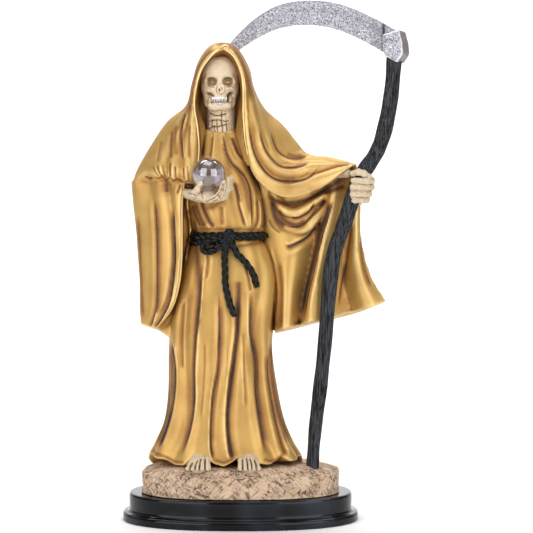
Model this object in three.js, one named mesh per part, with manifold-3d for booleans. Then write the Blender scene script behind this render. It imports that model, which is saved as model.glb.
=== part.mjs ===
import * as THREE from 'three'
import { mergeVertices } from 'three/addons/utils/BufferGeometryUtils.js'
import Module from 'manifold-3d'

// A robed skeleton with a scythe and a glass ball, standing on a rock and an oval plinth.
// Millimetres, Z up, the figure faces -Y. The origin is the centre of the plinth's underside.

// Sizes of the separate pieces
const PLINTH_WIDTH = 139
const PLINTH_DEPTH = 80
const PLINTH_HEIGHT = 16
const PLINTH_FOOT_HEIGHT = 5
const PLINTH_STEP = 3.8
const ROCK_WIDTH = 118
const ROCK_DEPTH = 66
const ROCK_HEIGHT = 13.7
const FIGURE_HEIGHT = 249
const BALL_DIAMETER = 18.7
const HANDLE_DIAMETER = 8.6
const HANDLE_FOOT_DIAMETER = 7
const HANDLE_SEAT_DEPTH = 5
const BLADE_REACH = 116
const BLADE_WIDTH = 15
const BLADE_SPINE = 3.6
const BLADE_EDGE = 0.8
const BLADE_TURN = 26
const SOCKET_WIDTH = 12.4
const SOCKET_HEIGHT = 18
const SOCKET_DEPTH = 12.4
const SOCKET_SEAT_DEPTH = 8
const ROPE_DIAMETER = 4.4
const GAP = 0.3

// The carving keeps its proportions: places on the figure are in hundredths of its height,
// x and y from the plinth's centre and z from the top of the rock.
const SHARE = FIGURE_HEIGHT / 100
const ROCK_BOTTOM = PLINTH_HEIGHT + GAP
const ROCK_TOP = ROCK_BOTTOM + ROCK_HEIGHT
const spot = ([x, y, z]) => new THREE.Vector3(x * SHARE, y * SHARE, z * SHARE + ROCK_TOP)
const shares = (length) => length / SHARE

const wasm = await Module()
wasm.setup()

// Solids

function volume(points, faces) {
  const cross = new THREE.Vector3()
  return faces.reduce((sum, [a, b, c]) => sum + points[a].dot(cross.crossVectors(points[b], points[c])), 0)
}

function closedMesh(points, faces) {
  const outward = volume(points, faces) > 0
  const geometry = new THREE.BufferGeometry()
  geometry.setAttribute('position', new THREE.Float32BufferAttribute(points.flatMap((p) => p.toArray()), 3))
  geometry.setIndex(faces.flatMap(([a, b, c]) => (outward ? [a, b, c] : [a, c, b])))
  return geometry
}

// A skin over rings of equally many points, closed by a fan at each end.
function loft(rings) {
  const count = rings[0].length
  const points = rings.flat()
  const faces = []
  for (let level = 0; level + 1 < rings.length; level++) {
    for (let i = 0; i < count; i++) {
      const here = level * count + i
      const next = level * count + ((i + 1) % count)
      faces.push([here, next, next + count], [here, next + count, here + count])
    }
  }
  const ends = [rings[0], rings.at(-1)]
  ends.forEach((ring, end) => {
    const first = end === 0 ? 0 : (rings.length - 1) * count
    const middle = points.length
    points.push(ring.reduce((sum, p) => sum.add(p), new THREE.Vector3()).divideScalar(count))
    for (let i = 0; i < count; i++) {
      const [a, b] = [first + i, first + ((i + 1) % count)]
      faces.push(end === 0 ? [middle, b, a] : [middle, a, b])
    }
  })
  return closedMesh(points, faces)
}

function solid(geometry) {
  const bare = geometry.clone()
  bare.deleteAttribute('normal')
  bare.deleteAttribute('uv')
  const merged = mergeVertices(bare, 1e-5)
  const vertProperties = new Float32Array(merged.attributes.position.array)
  const triVerts = new Uint32Array(merged.index.array)
  return new wasm.Manifold(new wasm.Mesh({ numProp: 3, vertProperties, triVerts }))
}

const fuse = (geometries) => geometries.map(solid).reduce((whole, piece) => whole.add(piece))

// A casting is solid right through: hollows that its forms close off inside it, which are shells of
// negative volume, are filled, and specks of less than a cubic millimetre are dropped.
const filled = (body) =>
  body.decompose().filter((shell) => shell.volume() > 1).reduce((whole, shell) => whole.add(shell))

function named(name, body, material) {
  const { vertProperties, triVerts } = body.getMesh()
  const geometry = new THREE.BufferGeometry()
  geometry.setAttribute('position', new THREE.BufferAttribute(vertProperties, 3))
  geometry.setIndex(new THREE.BufferAttribute(triVerts, 1))
  geometry.computeVertexNormals()
  const mesh = new THREE.Mesh(geometry, material)
  mesh.name = name
  return mesh
}

// Curves

const rail = (places) => new THREE.CatmullRomCurve3(places.map(spot), false, 'catmullrom')
const lerp = THREE.MathUtils.lerp
const smooth = (t) => t * t * (3 - 2 * t)
const fade = (value, from, to) => smooth(THREE.MathUtils.clamp((value - from) / (to - from), 0, 1))

// The value at a height, from rows of [height, value, ...], as a smooth curve through them.
function profile(rows, height, column = 1) {
  const last = rows.length - 1
  const at = rows.findIndex((row) => row[0] >= height)
  const i = at < 0 ? last : Math.max(at, 1)
  const t = THREE.MathUtils.clamp((height - rows[i - 1][0]) / (rows[i][0] - rows[i - 1][0]), 0, 1)
  const slope = (k) => {
    const [before, after] = [rows[Math.max(k - 1, 0)], rows[Math.min(k + 1, last)]]
    return (after[column] - before[column]) / (after[0] - before[0])
  }
  const run = rows[i][0] - rows[i - 1][0]
  const [from, to] = [rows[i - 1][column], rows[i][column]]
  const [m0, m1] = [slope(i - 1) * run, slope(i) * run]
  return from + t * (m0 + t * (3 * (to - from) - 2 * m0 - m1 + t * (m0 + m1 - 2 * (to - from))))
}

// A tube along a curve, its radius set by a function of the way along, with rounded or flat ends.
function tube(curve, radiusAt, steps, sides, { turn = 0, round = true } = {}) {
  const frames = curve.computeFrenetFrames(steps, false)
  const rings = []
  const ring = (point, k, radius) => {
    const points = []
    for (let i = 0; i < sides; i++) {
      const angle = (i / sides) * 2 * Math.PI + k * turn
      const side = frames.normals[k].clone().multiplyScalar(Math.cos(angle) * radius)
      points.push(point.clone().add(side).addScaledVector(frames.binormals[k], Math.sin(angle) * radius))
    }
    rings.push(points)
  }
  const cap = (k, way) => {
    const radius = radiusAt(k / steps)
    ring(curve.getPointAt(k / steps).addScaledVector(frames.tangents[k], way * radius * 0.7), k, radius * 0.6)
  }
  if (round) cap(0, -1)
  for (let k = 0; k <= steps; k++) ring(curve.getPointAt(k / steps), k, radiusAt(k / steps))
  if (round) cap(steps, 1)
  return loft(rings)
}

const limb = (places, from, to, steps, sides) =>
  tube(rail(places), (t) => lerp(from, to, t) * SHARE, steps, sides)

function ellipsoid(place, radii, [wide, high] = [10, 7]) {
  const ball = new THREE.SphereGeometry(1, wide, high)
  ball.rotateX(Math.PI / 2)
  ball.scale(...radii.map((r) => r * SHARE))
  const middle = spot(place)
  return ball.translate(middle.x, middle.y, middle.z)
}

// The closed section through a ring of marks. A soft mark is rounded over, a crease keeps its corner,
// and from a crease to the next the cloth puffs out by a part of its width.
function section(marks, rails, travel) {
  const count = marks.length
  const middle = marks.reduce((sum, p) => sum.add(p), new THREE.Vector3()).divideScalar(count)
  const way = (i) => {
    const [a, b, c] = [marks[(i + count - 1) % count], marks[i], marks[(i + 1) % count]]
    return b.clone().sub(a).normalize().add(c.clone().sub(b).normalize()).normalize()
  }
  const ring = []
  for (let i = 0; i < count; i++) {
    const next = (i + 1) % count
    const chord = marks[next].clone().sub(marks[i])
    const { soft, puff = 0, spans } = rails[i]
    const bulge = chord.clone().cross(travel).normalize().multiplyScalar(chord.length() * puff * 4)
    if (bulge.dot(marks[i].clone().add(marks[next]).multiplyScalar(0.5).sub(middle)) < 0) bulge.negate()
    const leave = soft ? way(i).multiplyScalar(chord.length()) : chord.clone().add(bulge)
    const arrive = rails[next].soft ? way(next).multiplyScalar(chord.length()) : chord.clone().sub(bulge)
    for (let k = 0; k < spans; k++) {
      const t = k / spans
      const point = marks[i].clone().addScaledVector(chord, t * t * (3 - 2 * t))
      ring.push(point.addScaledVector(leave, t * (1 - t) * (1 - t)).addScaledVector(arrive, -t * t * (1 - t)))
    }
  }
  return ring
}

// Cloth carved between rails. Each rail is a line of the carving from one end of the cloth to the other,
// listed in a ring round it as { at: places, soft or a crease, spans: faces to the next rail, puff }.
function drape(rails, steps) {
  const curves = rails.map(({ at }) => rail(at))
  const rings = []
  for (let k = 0; k <= steps; k++) {
    const marks = curves.map((curve) => curve.getPoint(k / steps))
    const travel = curves.reduce((sum, curve) => sum.add(curve.getTangent(k / steps)), new THREE.Vector3())
    rings.push(section(marks, rails, travel.normalize()))
  }
  return loft(rings)
}

const oval = (width, depth, power, count) =>
  Array.from({ length: count }, (_, i) => {
    const angle = (i / count) * 2 * Math.PI
    const squash = (value) => Math.sign(value) * Math.abs(value) ** (2 / power)
    return [squash(Math.cos(angle)) * width / 2, squash(Math.sin(angle)) * depth / 2]
  })

// Plinth: a moulded foot and a step, with softened edges.
function plinth() {
  const soften = 1
  const levels = [
    [0, 0],
    [0, PLINTH_FOOT_HEIGHT - soften * 1.5],
    [soften, PLINTH_FOOT_HEIGHT],
    [PLINTH_STEP - soften, PLINTH_FOOT_HEIGHT + soften * 0.6],
    [PLINTH_STEP, PLINTH_FOOT_HEIGHT + soften * 1.8],
    [PLINTH_STEP, PLINTH_HEIGHT - soften],
    [PLINTH_STEP + soften, PLINTH_HEIGHT],
  ]
  return loft(levels.map(([inset, z]) => {
    const outline = oval(PLINTH_WIDTH - 2 * inset, PLINTH_DEPTH - 2 * inset, 2.3, 30)
    return outline.map(([x, y]) => new THREE.Vector3(x, y, z))
  }))
}

// Rock: broken strata round the side and a rough top.
function rock() {
  const count = 26
  const rough = (i, level) => Math.sin(i * 1.9 + level * 2.1) * 0.6 + Math.sin(i * 0.7 + level * 4.3) * 0.8
  const strata = [[0.8, 0], [-0.4, 0.25], [1.3, 0.42], [0, 0.68], [2, 0.92], [8, 0.98]]
  return loft(strata.map(([inset, lift], level) =>
    oval(ROCK_WIDTH - 2 * inset, ROCK_DEPTH - 2 * inset, 2.4, count).map(([x, y], i) => {
      const out = 1 + (level === 0 ? 0 : rough(i, level)) / Math.hypot(x, y)
      const up = level === 0 ? 0 : rough(i + 7, level) * 0.3
      return new THREE.Vector3(x * out, y * out, ROCK_BOTTOM + ROCK_HEIGHT * lift + up)
    })))
}

// Gown, from the collar to the hem: [height, left, right, front, back].
const GOWN = [
  [-0.8, -22.7, 15.4, -10.9, 11.2], [2.4, -22.2, 14.4, -10.8, 10.8], [6, -20.4, 12.2, -10.4, 10.2],
  [11, -18.6, 10, -10, 9.4], [18, -17.4, 8.4, -9.6, 8.8], [28, -17.2, 7.8, -9.2, 8.2],
  [38, -16.2, 8.6, -8.8, 7.6], [46, -14.2, 8.6, -8.3, 7], [52, -12.2, 6.6, -7.6, 6],
  [54.7, -11.2, 5.3, -7.2, 5.4], [57.5, -12, 6.4, -7.6, 5.8], [64, -12.6, 5.6, -7.7, 6],
  [71, -12, 3.6, -7, 6], [76.6, -9.8, 0.8, -5.8, 5], [79.3, -8.7, -0.7, -4.9, 3.6],
]
const [GOWN_HEM, GOWN_TOP] = [GOWN[0][0], GOWN.at(-1)[0]]
const BELT_HEIGHT = 54.7
const BODICE_LEAN = 0.05

// Creases round the skirt, as turns from its right side past the front: [turn at the belt, at the hem,
// height where it starts, depth]. The bodice has its own.
const SKIRT_CREASES = [
  [0.04, 0.035, 50, 0.9], [0.135, 0.135, 56, 1.7], [0.215, 0.228, 43, 1.5], [0.27, 0.268, 43, 1.6],
  [0.365, 0.36, 56, 1.8], [0.46, 0.455, 34, 1.3], [0.58, 0.58, 45, 1], [0.69, 0.69, 50, 1.2],
  [0.8, 0.8, 50, 1.2], [0.91, 0.91, 46, 1],
]

function gownPoint(height, turn, out) {
  const [left, right, front, back] = [1, 2, 3, 4].map((column) => profile(GOWN, height, column))
  const power = 2.4
  const angle = turn * 2 * Math.PI
  const [wide, deep] = [Math.cos(angle), Math.sin(angle)]
  const reach = (Math.abs(wide) ** power + Math.abs(deep) ** power) ** (-1 / power)
  const depth = deep > 0 ? -front : back
  const x = (left + right) / 2 + wide * (reach * (right - left) / 2 + out)
  return [x, -deep * (reach * depth + out), height]
}

function gown() {
  const heights = [GOWN_HEM, 2.2, 5.5, 10, 16, 23, 31, 39, 46, 51, 54, 56.5, 61, 67, 73, GOWN_TOP]
  return loft(heights.map((height) => {
    const skirt = height < BELT_HEIGHT
    const down = skirt ? fade(height, BELT_HEIGHT, GOWN_HEM) : 0
    const lean = BODICE_LEAN * fade(height, BELT_HEIGHT, GOWN_TOP)
    const turns = SKIRT_CREASES.map(([belt, hem]) => lerp(belt, hem, down) + lean)
    return SKIRT_CREASES.flatMap(([, , start, depth], i) => {
      const next = i + 1 < turns.length ? turns[i + 1] : turns[0] + 1
      const sunk = depth * (skirt ? 0.15 + 0.85 * fade(height, start, start - 30) : 0.3)
      const perFold = turns[i] < 0.5 ? 3 : 2
      return Array.from({ length: perFold }, (_, k) => {
        const across = k / perFold
        const out = 0.4 * Math.sin(Math.PI * across) - (k === 0 ? sunk : 0)
        return spot(gownPoint(height, lerp(turns[i], next, across), out))
      })
    })
  }))
}

// Cape: the hood's back, the shoulders and the cloth that falls behind: [height, left, right, back].
const CAPE = [
  [31.4, -20.6, 9, 11.6], [36, -22.2, 12, 11.4], [48, -23.4, 13, 10.8], [60, -24, 13, 10.2],
  [70, -23.4, 13, 9.4], [76, -20.2, 12.4, 8.6], [81, -16.6, 9.2, 7.4], [85, -12.4, 5, 7.6],
  [91, -11, 2.6, 8], [95.6, -9.6, 0.8, 6.2], [99.3, -6.4, -2, 2.6],
]
const CAPE_FOLDS = 5

function cape() {
  const across = 16
  return loft(CAPE.map(([height, left, right, back]) => {
    const loose = fade(height, 84, 50)
    const ring = []
    for (let i = 0; i <= across; i++) {
      const angle = (i / across) * Math.PI
      const fold = Math.cos(CAPE_FOLDS * 2 * angle)
      const wide = Math.sign(Math.cos(angle)) * Math.abs(Math.cos(angle)) ** 0.85
      const x = (left + right) / 2 - wide * (right - left) / 2
      const y = 0.6 + Math.sin(angle) ** 0.8 * (back + loose * fold - 0.6)
      const lift = height > CAPE[0][0] ? 0 : 1.6 * Math.abs(Math.cos(angle)) ** 5 - 0.4 * fold
      ring.push(spot([x, y, height + lift]))
    }
    return [...ring, spot([lerp(left, right, 0.5), 0.2, height])]
  }))
}

// The mantle's front edge runs from the bent left elbow up round the face and out along the right arm.
// Its rails go from the outer line over the folds to the rim, and back inside by the lining.
const MANTLE = [
  { spans: 3, soft: true, at: [
    [-25.3, -1.2, 65.2], [-24.4, -0.6, 69.6], [-20.8, 0.4, 76.3], [-17, 0.8, 81.8], [-12.8, 1.2, 85.3],
    [-11.5, 1.2, 90.2], [-9.9, 1.2, 95.6], [-7.2, 0.8, 99.2], [-4.1, 0.6, 100], [-0.8, 0.8, 98.8],
    [2, 1.2, 94.1], [3.1, 1.2, 89.5], [5.5, 1.2, 84.9], [10, 0.8, 80.8], [13.1, 0, 77],
    [16.1, -0.8, 73.8], [21.5, -2.6, 73], [27.3, -5.2, 71.4],
  ] },
  { spans: 2, soft: false, puff: 0.28, at: [
    [-21.6, -3.6, 67.8], [-21, -5.6, 70.4], [-18.4, -3.4, 75.8], [-15.6, -2.6, 80.6], [-12.2, -2, 85],
    [-11, -1.8, 90], [-9.5, -1.8, 95], [-6.9, -1.9, 98.5], [-4, -2, 99.4], [-1, -2.2, 98.1],
    [1.8, -2.4, 93.6], [2.9, -2.6, 89], [4.9, -3, 83.6], [7.4, -4.4, 78.3], [9.1, -5.2, 74.3],
    [12.5, -5, 72.5], [18, -4, 72.6], [26.9, -5.8, 71.3],
  ] },
  { spans: 2, soft: false, puff: 0.3, at: [
    [-17, -5.6, 67.6], [-16.7, -8, 69.8], [-15.9, -5.6, 75.4], [-14, -4.4, 80.2], [-11.5, -3.8, 84.9],
    [-10.6, -3.6, 89.9], [-9.2, -3.5, 94.4], [-6.7, -3.6, 97.8], [-3.9, -3.6, 98.8], [-1.1, -4, 97.4],
    [1.3, -4.2, 93], [2.3, -4.4, 88.6], [3.6, -5.2, 83.3], [5.4, -6.4, 78.2], [7.4, -7.1, 73.1],
    [11.6, -7, 70.5], [17, -5.6, 71.9], [26.7, -6.3, 71.2],
  ] },
  { spans: 3, soft: false, puff: 0.3, at: [
    [-13.6, -7, 66.9], [-13.4, -9.5, 69.4], [-13.5, -7.4, 75.4], [-12.2, -6, 80], [-10.8, -5.8, 84.8],
    [-10.2, -5.4, 89.7], [-8.9, -5.2, 94], [-6.5, -5, 97.2], [-3.9, -4.8, 98.3], [-1.2, -5.2, 96.9],
    [0.8, -6, 92.6], [1.5, -6.2, 88.3], [2, -6.8, 83], [2.9, -7.6, 77.4], [4.9, -8.2, 71.6],
    [10.5, -8.6, 67.4], [16.6, -7.5, 69.2], [26.4, -6.7, 71.1],
  ] },
  { spans: 1, soft: false, at: [
    [-10.4, -7.6, 65.8], [-9.4, -9.2, 70], [-9.4, -8.4, 75.3], [-9.8, -7.8, 80.1], [-10.5, -7.4, 84.7],
    [-10, -7.1, 89.6], [-8.6, -6.8, 93.5], [-6.3, -6, 96.5], [-3.9, -5.4, 97.8], [-1.5, -6.2, 96.3],
    [0.3, -7, 92.4], [0.8, -7.3, 88], [0.8, -7.4, 83.2], [1.2, -8, 77.4], [3.2, -9.2, 68.7],
    [10, -9.8, 63.7], [18.2, -9.4, 65.6], [26.1, -7.2, 71],
  ] },
  { spans: 1, soft: false, at: [
    [-9.6, -5.5, 66.4], [-8.8, -5.5, 71.2], [-8.8, -5, 75.3], [-9.2, -4.4, 80.1], [-9.7, -4, 84.7],
    [-9.2, -3.8, 89.4], [-7.9, -3.8, 93.1], [-6, -3.6, 95.8], [-4, -3.4, 96.9], [-2, -3.6, 95.6],
    [-0.4, -3.8, 92], [0.2, -4, 88], [0.4, -4, 83.2], [1, -4, 77.4], [3.5, -5, 69.4], [10, -5.5, 64.6],
    [18, -5.5, 66.2], [25.8, -5.2, 70.6],
  ] },
  { spans: 1, soft: true, at: [
    [-18.6, 2.4, 65.8], [-18, 3, 70], [-16.4, 3.4, 74.4], [-13.6, 3.6, 79.4], [-10.8, 3.8, 84.2],
    [-9.8, 4.2, 88.8], [-8.4, 4.2, 93], [-6.6, 3.2, 96.4], [-4.2, 2.6, 97.6], [-1.8, 3.2, 96.2],
    [0.2, 4, 92], [1.2, 4, 88], [2.8, 3.8, 83.8], [6, 3.6, 79.4], [9, 3.6, 75], [13, 2.8, 70],
    [19, 1, 69.5], [26.5, -3.6, 70.9],
  ] },
]

// The wide left sleeve: folds outside, a lip, the hollow of its mouth and the far lip.
const SLEEVE = [
  { spans: 3, soft: true, at: [
    [-25.6, -1, 67.6], [-25.2, -1, 62.3], [-24.5, -1, 56], [-24.1, -1, 50], [-23.7, -1, 44],
    [-23.7, -0.8, 38], [-23.5, -0.6, 33.9],
  ] },
  { spans: 2, soft: false, puff: 0.14, at: [
    [-20.8, -3.6, 68], [-19.9, -5.6, 62.6], [-19.5, -5.7, 56], [-19.4, -5.7, 50], [-19.5, -5.4, 44],
    [-19.7, -4.8, 38], [-21.3, -3.6, 33.4],
  ] },
  { spans: 2, soft: false, puff: 0.16, at: [
    [-16.6, -5.4, 68.4], [-15.7, -7.2, 62.8], [-15.1, -7.2, 56], [-14.9, -7, 50], [-15.6, -6.8, 44],
    [-17, -6.2, 38.2], [-20.3, -4.6, 33.4],
  ] },
  { spans: 1, soft: false, at: [
    [-12.6, -7.4, 68.6], [-13.2, -8.9, 63], [-13.3, -8.6, 56], [-13.4, -8.4, 50], [-14, -8, 43.8],
    [-15.7, -7.4, 38.2], [-19.4, -5.6, 33.3],
  ] },
  { spans: 1, soft: true, at: [
    [-13, -4.4, 68], [-13, -3.4, 62], [-12.8, -3, 56], [-13.4, -3, 50], [-13.9, -3, 44], [-15, -3, 38],
    [-18.4, -3.2, 32.6],
  ] },
  { spans: 1, soft: false, at: [
    [-11.6, -4.8, 66.4], [-12.3, -4.9, 62], [-11.5, -5, 56], [-12.6, -5, 50], [-13.1, -4.8, 44],
    [-13.5, -4.4, 38], [-16.4, -2.8, 30.6],
  ] },
  { spans: 1, soft: true, at: [
    [-10, 1, 66], [-11, 1.6, 62], [-11, 2, 56], [-11.6, 2.2, 50], [-12, 2.4, 44], [-12.4, 2.8, 38],
    [-15, 3.2, 30.8],
  ] },
  { spans: 1, soft: true, at: [
    [-19, 4.6, 66], [-19.4, 5, 62], [-19, 5.4, 56], [-18.6, 5.6, 50], [-18.4, 5.8, 44], [-18.6, 6, 38],
    [-19, 6, 31.8],
  ] },
]

// The cloth that hangs from the outstretched arm, open at its right edge.
const PANEL = [
  { spans: 1, soft: false, at: [
    [27.2, -4.6, 70.8], [28.2, -3.8, 64], [28.2, -3, 56], [29.7, -2.2, 48.4], [31.8, -1.8, 43.4],
    [34.4, -1.7, 39.3],
  ] },
  { spans: 2, soft: true, at: [
    [26.6, -5.4, 70.4], [27, -4.6, 64], [26.8, -4.4, 56], [27.4, -4, 48], [28.6, -3.8, 42.6],
    [30.4, -3.6, 38],
  ] },
  { spans: 2, soft: false, at: [
    [25.8, -5, 70], [25.8, -3, 63.6], [24.9, -1.8, 55.6], [24.3, -1, 48], [24.8, -0.6, 42],
    [26.2, -0.6, 37],
  ] },
  { spans: 2, soft: true, at: [
    [23.6, -5.4, 69.6], [23.6, -4.6, 63.6], [22.2, -4.2, 55.6], [21.2, -3.8, 48], [20.8, -3.8, 41.6],
    [21.2, -3.8, 35.3],
  ] },
  { spans: 2, soft: true, at: [
    [21.4, -5.8, 69.6], [21.4, -6, 63.6], [20, -6, 55.6], [18.4, -5.6, 48], [17, -5.4, 41.4],
    [16.2, -5.4, 34.6],
  ] },
  { spans: 2, soft: false, at: [
    [19.8, -4.6, 69.6], [19.6, -3, 63.4], [17.8, -1.8, 55.4], [16.2, -1.2, 47.6], [14.8, -1, 41],
    [13.8, -1.2, 34.2],
  ] },
  { spans: 2, soft: true, at: [
    [12, -5, 69], [12.4, -4.6, 63], [12, -4.2, 55], [11.4, -4.2, 47.4], [11, -4.4, 40.6],
    [10.8, -4.4, 33.2],
  ] },
  { spans: 1, soft: false, at: [
    [4, -3, 68.6], [5, -2.6, 63], [5.2, -2, 55], [7, -2, 47], [7.8, -2, 40], [8, -2, 32],
  ] },
  { spans: 2, soft: true, at: [
    [6, 4, 70], [7, 5, 63], [8, 6, 55], [9, 6.4, 47], [9.6, 6.6, 40], [9.8, 6.8, 31.4],
  ] },
  { spans: 2, soft: true, at: [
    [15, 2.6, 71.6], [17.6, 3.2, 63.6], [18, 4, 55.6], [18.4, 4.2, 48], [18.8, 4.4, 41], [19.2, 4.6, 34],
  ] },
  { spans: 1, soft: true, at: [
    [24, -1.4, 71.6], [24.8, -0.2, 64], [25, 0.8, 56], [25.8, 1.2, 48], [27, 1.4, 42], [28.4, 1.4, 36.6],
  ] },
]

// Rolls of cloth that sag in the crook of the arm: places from end to end, and the roll's radius.
const SWAGS = [
  [[[8, -3, 64.6], [9.8, -4.6, 61.3], [12.4, -5.2, 60.2], [15.2, -4.8, 61.4], [19.4, -4, 64.4]], 2],
  [[[8, -2, 60.4], [10.6, -3.6, 57], [14.4, -4, 56.2], [17.8, -4, 58.8], [21.4, -4, 63]], 1.8],
]
const swags = () => SWAGS.map(([places, radius]) => limb(places, radius, radius * 0.7, 6, 6))

// Head

const SKULL = [
  [83.4, 1, -5.1, -2.6, 0.5], [84.3, 2.1, -5.5, -2, 0.5], [86, 2.6, -5.6, -1, 0.4], [87.6, 2.7, -5.4, 0, 0.3],
  [89, 3.6, -5.5, 1, 0.2], [90.6, 4.1, -5.1, 3, 0], [92.2, 4.2, -5.5, 4, 0],
  [94, 4.1, -5.2, 4, 0], [95.6, 3.3, -4.4, 3.4, 0], [96.6, 1.9, -2.9, 2, 0], [97, 0.5, -1.2, 0.3, 0],
]
const HEAD_MIDDLE = -4.85

function skull() {
  const bone = loft(SKULL.map(([height, half, front, back, shift]) =>
    oval(2 * half, back - front, 2.3, 14).map(([x, y]) =>
      spot([HEAD_MIDDLE + shift + x, (front + back) / 2 + y, height]))))
  const hollows = [
    ellipsoid([HEAD_MIDDLE - 1.95, -5, 90.8], [1.3, 1.7, 1], [8, 5]),
    ellipsoid([HEAD_MIDDLE + 1.95, -5, 90.8], [1.3, 1.7, 1], [8, 5]),
    ellipsoid([HEAD_MIDDLE + 0.2, -5.5, 88.9], [0.7, 1.2, 0.95], [6, 4]),
  ]
  const teeth = fuse([
    ellipsoid([HEAD_MIDDLE + 0.3, -4.6, 86.6], [1.9, 1.35, 0.6], [8, 5]),
    ellipsoid([HEAD_MIDDLE + 0.3, -4.5, 85.4], [1.6, 1.35, 0.45], [8, 5]),
  ])
  return solid(bone).subtract(fuse(hollows)).add(teeth)
}

const neck = () => limb([[-4.6, -1.4, 77], [-4.6, -1.4, 80], [-4.6, -1.2, 86]], 3.3, 3.1, 3, 10)

// Hands and feet

const PALM = [-7, -12, 63.4]
const PALM_THICKNESS = 1.7
const onPalm = ([x, y, z]) => [x, y, z + PALM_THICKNESS + shares(BALL_DIAMETER / 2 + GAP)]

const openHand = () => [
  limb([[-16, -4.4, 65.6], [-13, -7.4, 64.6], [-9.4, -10.6, 63.8]], 1.3, 1.45, 2, 7),
  limb([[-10, -11, 63.5], PALM, [-5.8, -12.3, 63.7]], PALM_THICKNESS, PALM_THICKNESS * 0.9, 2, 8),
  limb([[-7.2, -13.8, 63.5], [-5, -14.6, 64.2], [-3.7, -14.3, 66.8]], 0.85, 0.5, 2, 5),
  limb([[-6.4, -12.9, 63.3], [-3.7, -13.3, 64.4], [-2.6, -13, 67.6]], 0.85, 0.5, 2, 5),
  limb([[-6.2, -11.4, 63.4], [-3.2, -11.6, 64.8], [-2.1, -11.4, 68]], 0.85, 0.5, 2, 5),
  limb([[-6.4, -10, 63.6], [-3.6, -9.9, 65], [-2.5, -10, 67.4]], 0.75, 0.45, 2, 5),
  limb([[-10.4, -12, 63.9], [-10, -14, 64.8], [-8.8, -14.8, 66.6]], 0.9, 0.6, 2, 5),
]

// Scythe handle: the bent line of its middle, from the hole in the rock, through the grip of the fist, to
// the blade.
const GRIP = [26.7, -8.8, 66.2]
const HANDLE_LINE = [
  [16.9, -5.6, 1.2], [17.4, -6, 9.2], [18.7, -6.8, 20.5], [19.8, -7.2, 31.7], [21.4, -8, 49.9],
  [23.1, -8.3, 55.1], [24.7, -8.6, 59.7], GRIP, [28.5, -8.8, 69.7], [31.2, -8.6, 73.6], [33, -8.3, 78.2],
  [34.8, -7.6, 87.2], [35.5, -6.9, 95.5],
]

function handleCurve(extra) {
  const places = HANDLE_LINE.map(spot)
  const foot = places[0].clone().setZ(ROCK_TOP - HANDLE_SEAT_DEPTH - extra)
  const top = places.at(-1).clone()
  top.add(new THREE.Vector3(0.08, 0.05, 1).normalize().multiplyScalar(SOCKET_SEAT_DEPTH + extra))
  return new THREE.CatmullRomCurve3([foot, ...places, top], false, 'centripetal')
}

function handle(extra = 0) {
  const knots = (t) => (0.25 * Math.sin(t * 41) + 0.2 * Math.sin(t * 97)) * fade(t, 1, 0.9)
  const radius = (t) => lerp(HANDLE_FOOT_DIAMETER, HANDLE_DIAMETER, fade(t, 0, 0.4)) / 2 + knots(t) + extra
  return tube(handleCurve(extra), radius, 22, 8, { round: false })
}

// The fist closes round the handle: each finger is an arc about the handle's middle line.
const FINGERS = [
  { lift: 2.75, from: -150, to: 20 }, { lift: 1.35, from: -134, to: 70 }, { lift: -0.1, from: -126, to: 70 },
  { lift: -1.6, from: -116, to: 70 }, { lift: -2.95, from: -106, to: 70 },
]

function fist() {
  const grip = HANDLE_LINE.indexOf(GRIP)
  const [low, middle, high] = HANDLE_LINE.slice(grip - 1, grip + 2).map(spot)
  const along = high.clone().sub(low).normalize()
  const upright = new THREE.Vector3(0, 0, 1.2).add(along).normalize()
  const right = new THREE.Vector3(1, 0, 0).addScaledVector(upright, -upright.x).normalize()
  const behind = upright.clone().cross(right)
  const thick = 0.9 * SHARE
  const reach = HANDLE_DIAMETER / 2 + GAP + thick * 0.75
  const finger = ({ lift, from, to }) => {
    const points = [0, 1, 2, 3].map((k) => {
      const angle = THREE.MathUtils.degToRad(lerp(from, to, k / 3))
      const knuckle = reach * (1 + 0.3 * Math.max(0, Math.cos(angle)))
      return middle.clone().addScaledVector(along, lift * SHARE)
        .addScaledVector(right, Math.cos(angle) * knuckle).addScaledVector(behind, Math.sin(angle) * knuckle)
    })
    return tube(new THREE.CatmullRomCurve3(points), (t) => thick * lerp(0.85, 1.05, t), 4, 5)
  }
  const wrist = [[20.4, -3.6, 69.2], [23, -5, 68.8], [25.6, -5.8, 68]]
  const back = [[28.4, -6, 69], [27.8, -5.8, 66.4], [27.2, -6, 63.8]]
  return [...FINGERS.map(finger), limb(wrist, 2, 2, 2, 7), limb(back, 1.9, 1.7, 2, 7)]
}

// A foot: five toes side by side before an instep that goes back under the hem.
function foot(inner, outer) {
  const way = Math.sign(outer - inner)
  const toes = [0, 1, 2, 3, 4].map((i) => {
    const x = inner + way * (i === 0 ? 0.85 : 1.45 + i * 0.95)
    const [thick, back] = [i === 0 ? 0.95 : 0.7, i * 0.2]
    return limb([[x, -10, 2.2], [x, -11.6 + back, 1.6], [x, -12.5 + back, 0.7]], thick, thick * 0.9, 2, 5)
  })
  const middle = (inner + outer) / 2
  const instep = limb([[middle, -6, 2.6], [middle, -9.4, 1.9], [middle, -11, 1]], 2.6, 2.3, 2, 7)
  return [...toes, instep]
}

// Rope: belt, knot, loop and two tails, laid with a twist.
const ropeAlong = (curve, steps, thickness = ROPE_DIAMETER) =>
  tube(curve, () => thickness * 0.58, steps, 4, { turn: Math.PI / 5 })

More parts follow.
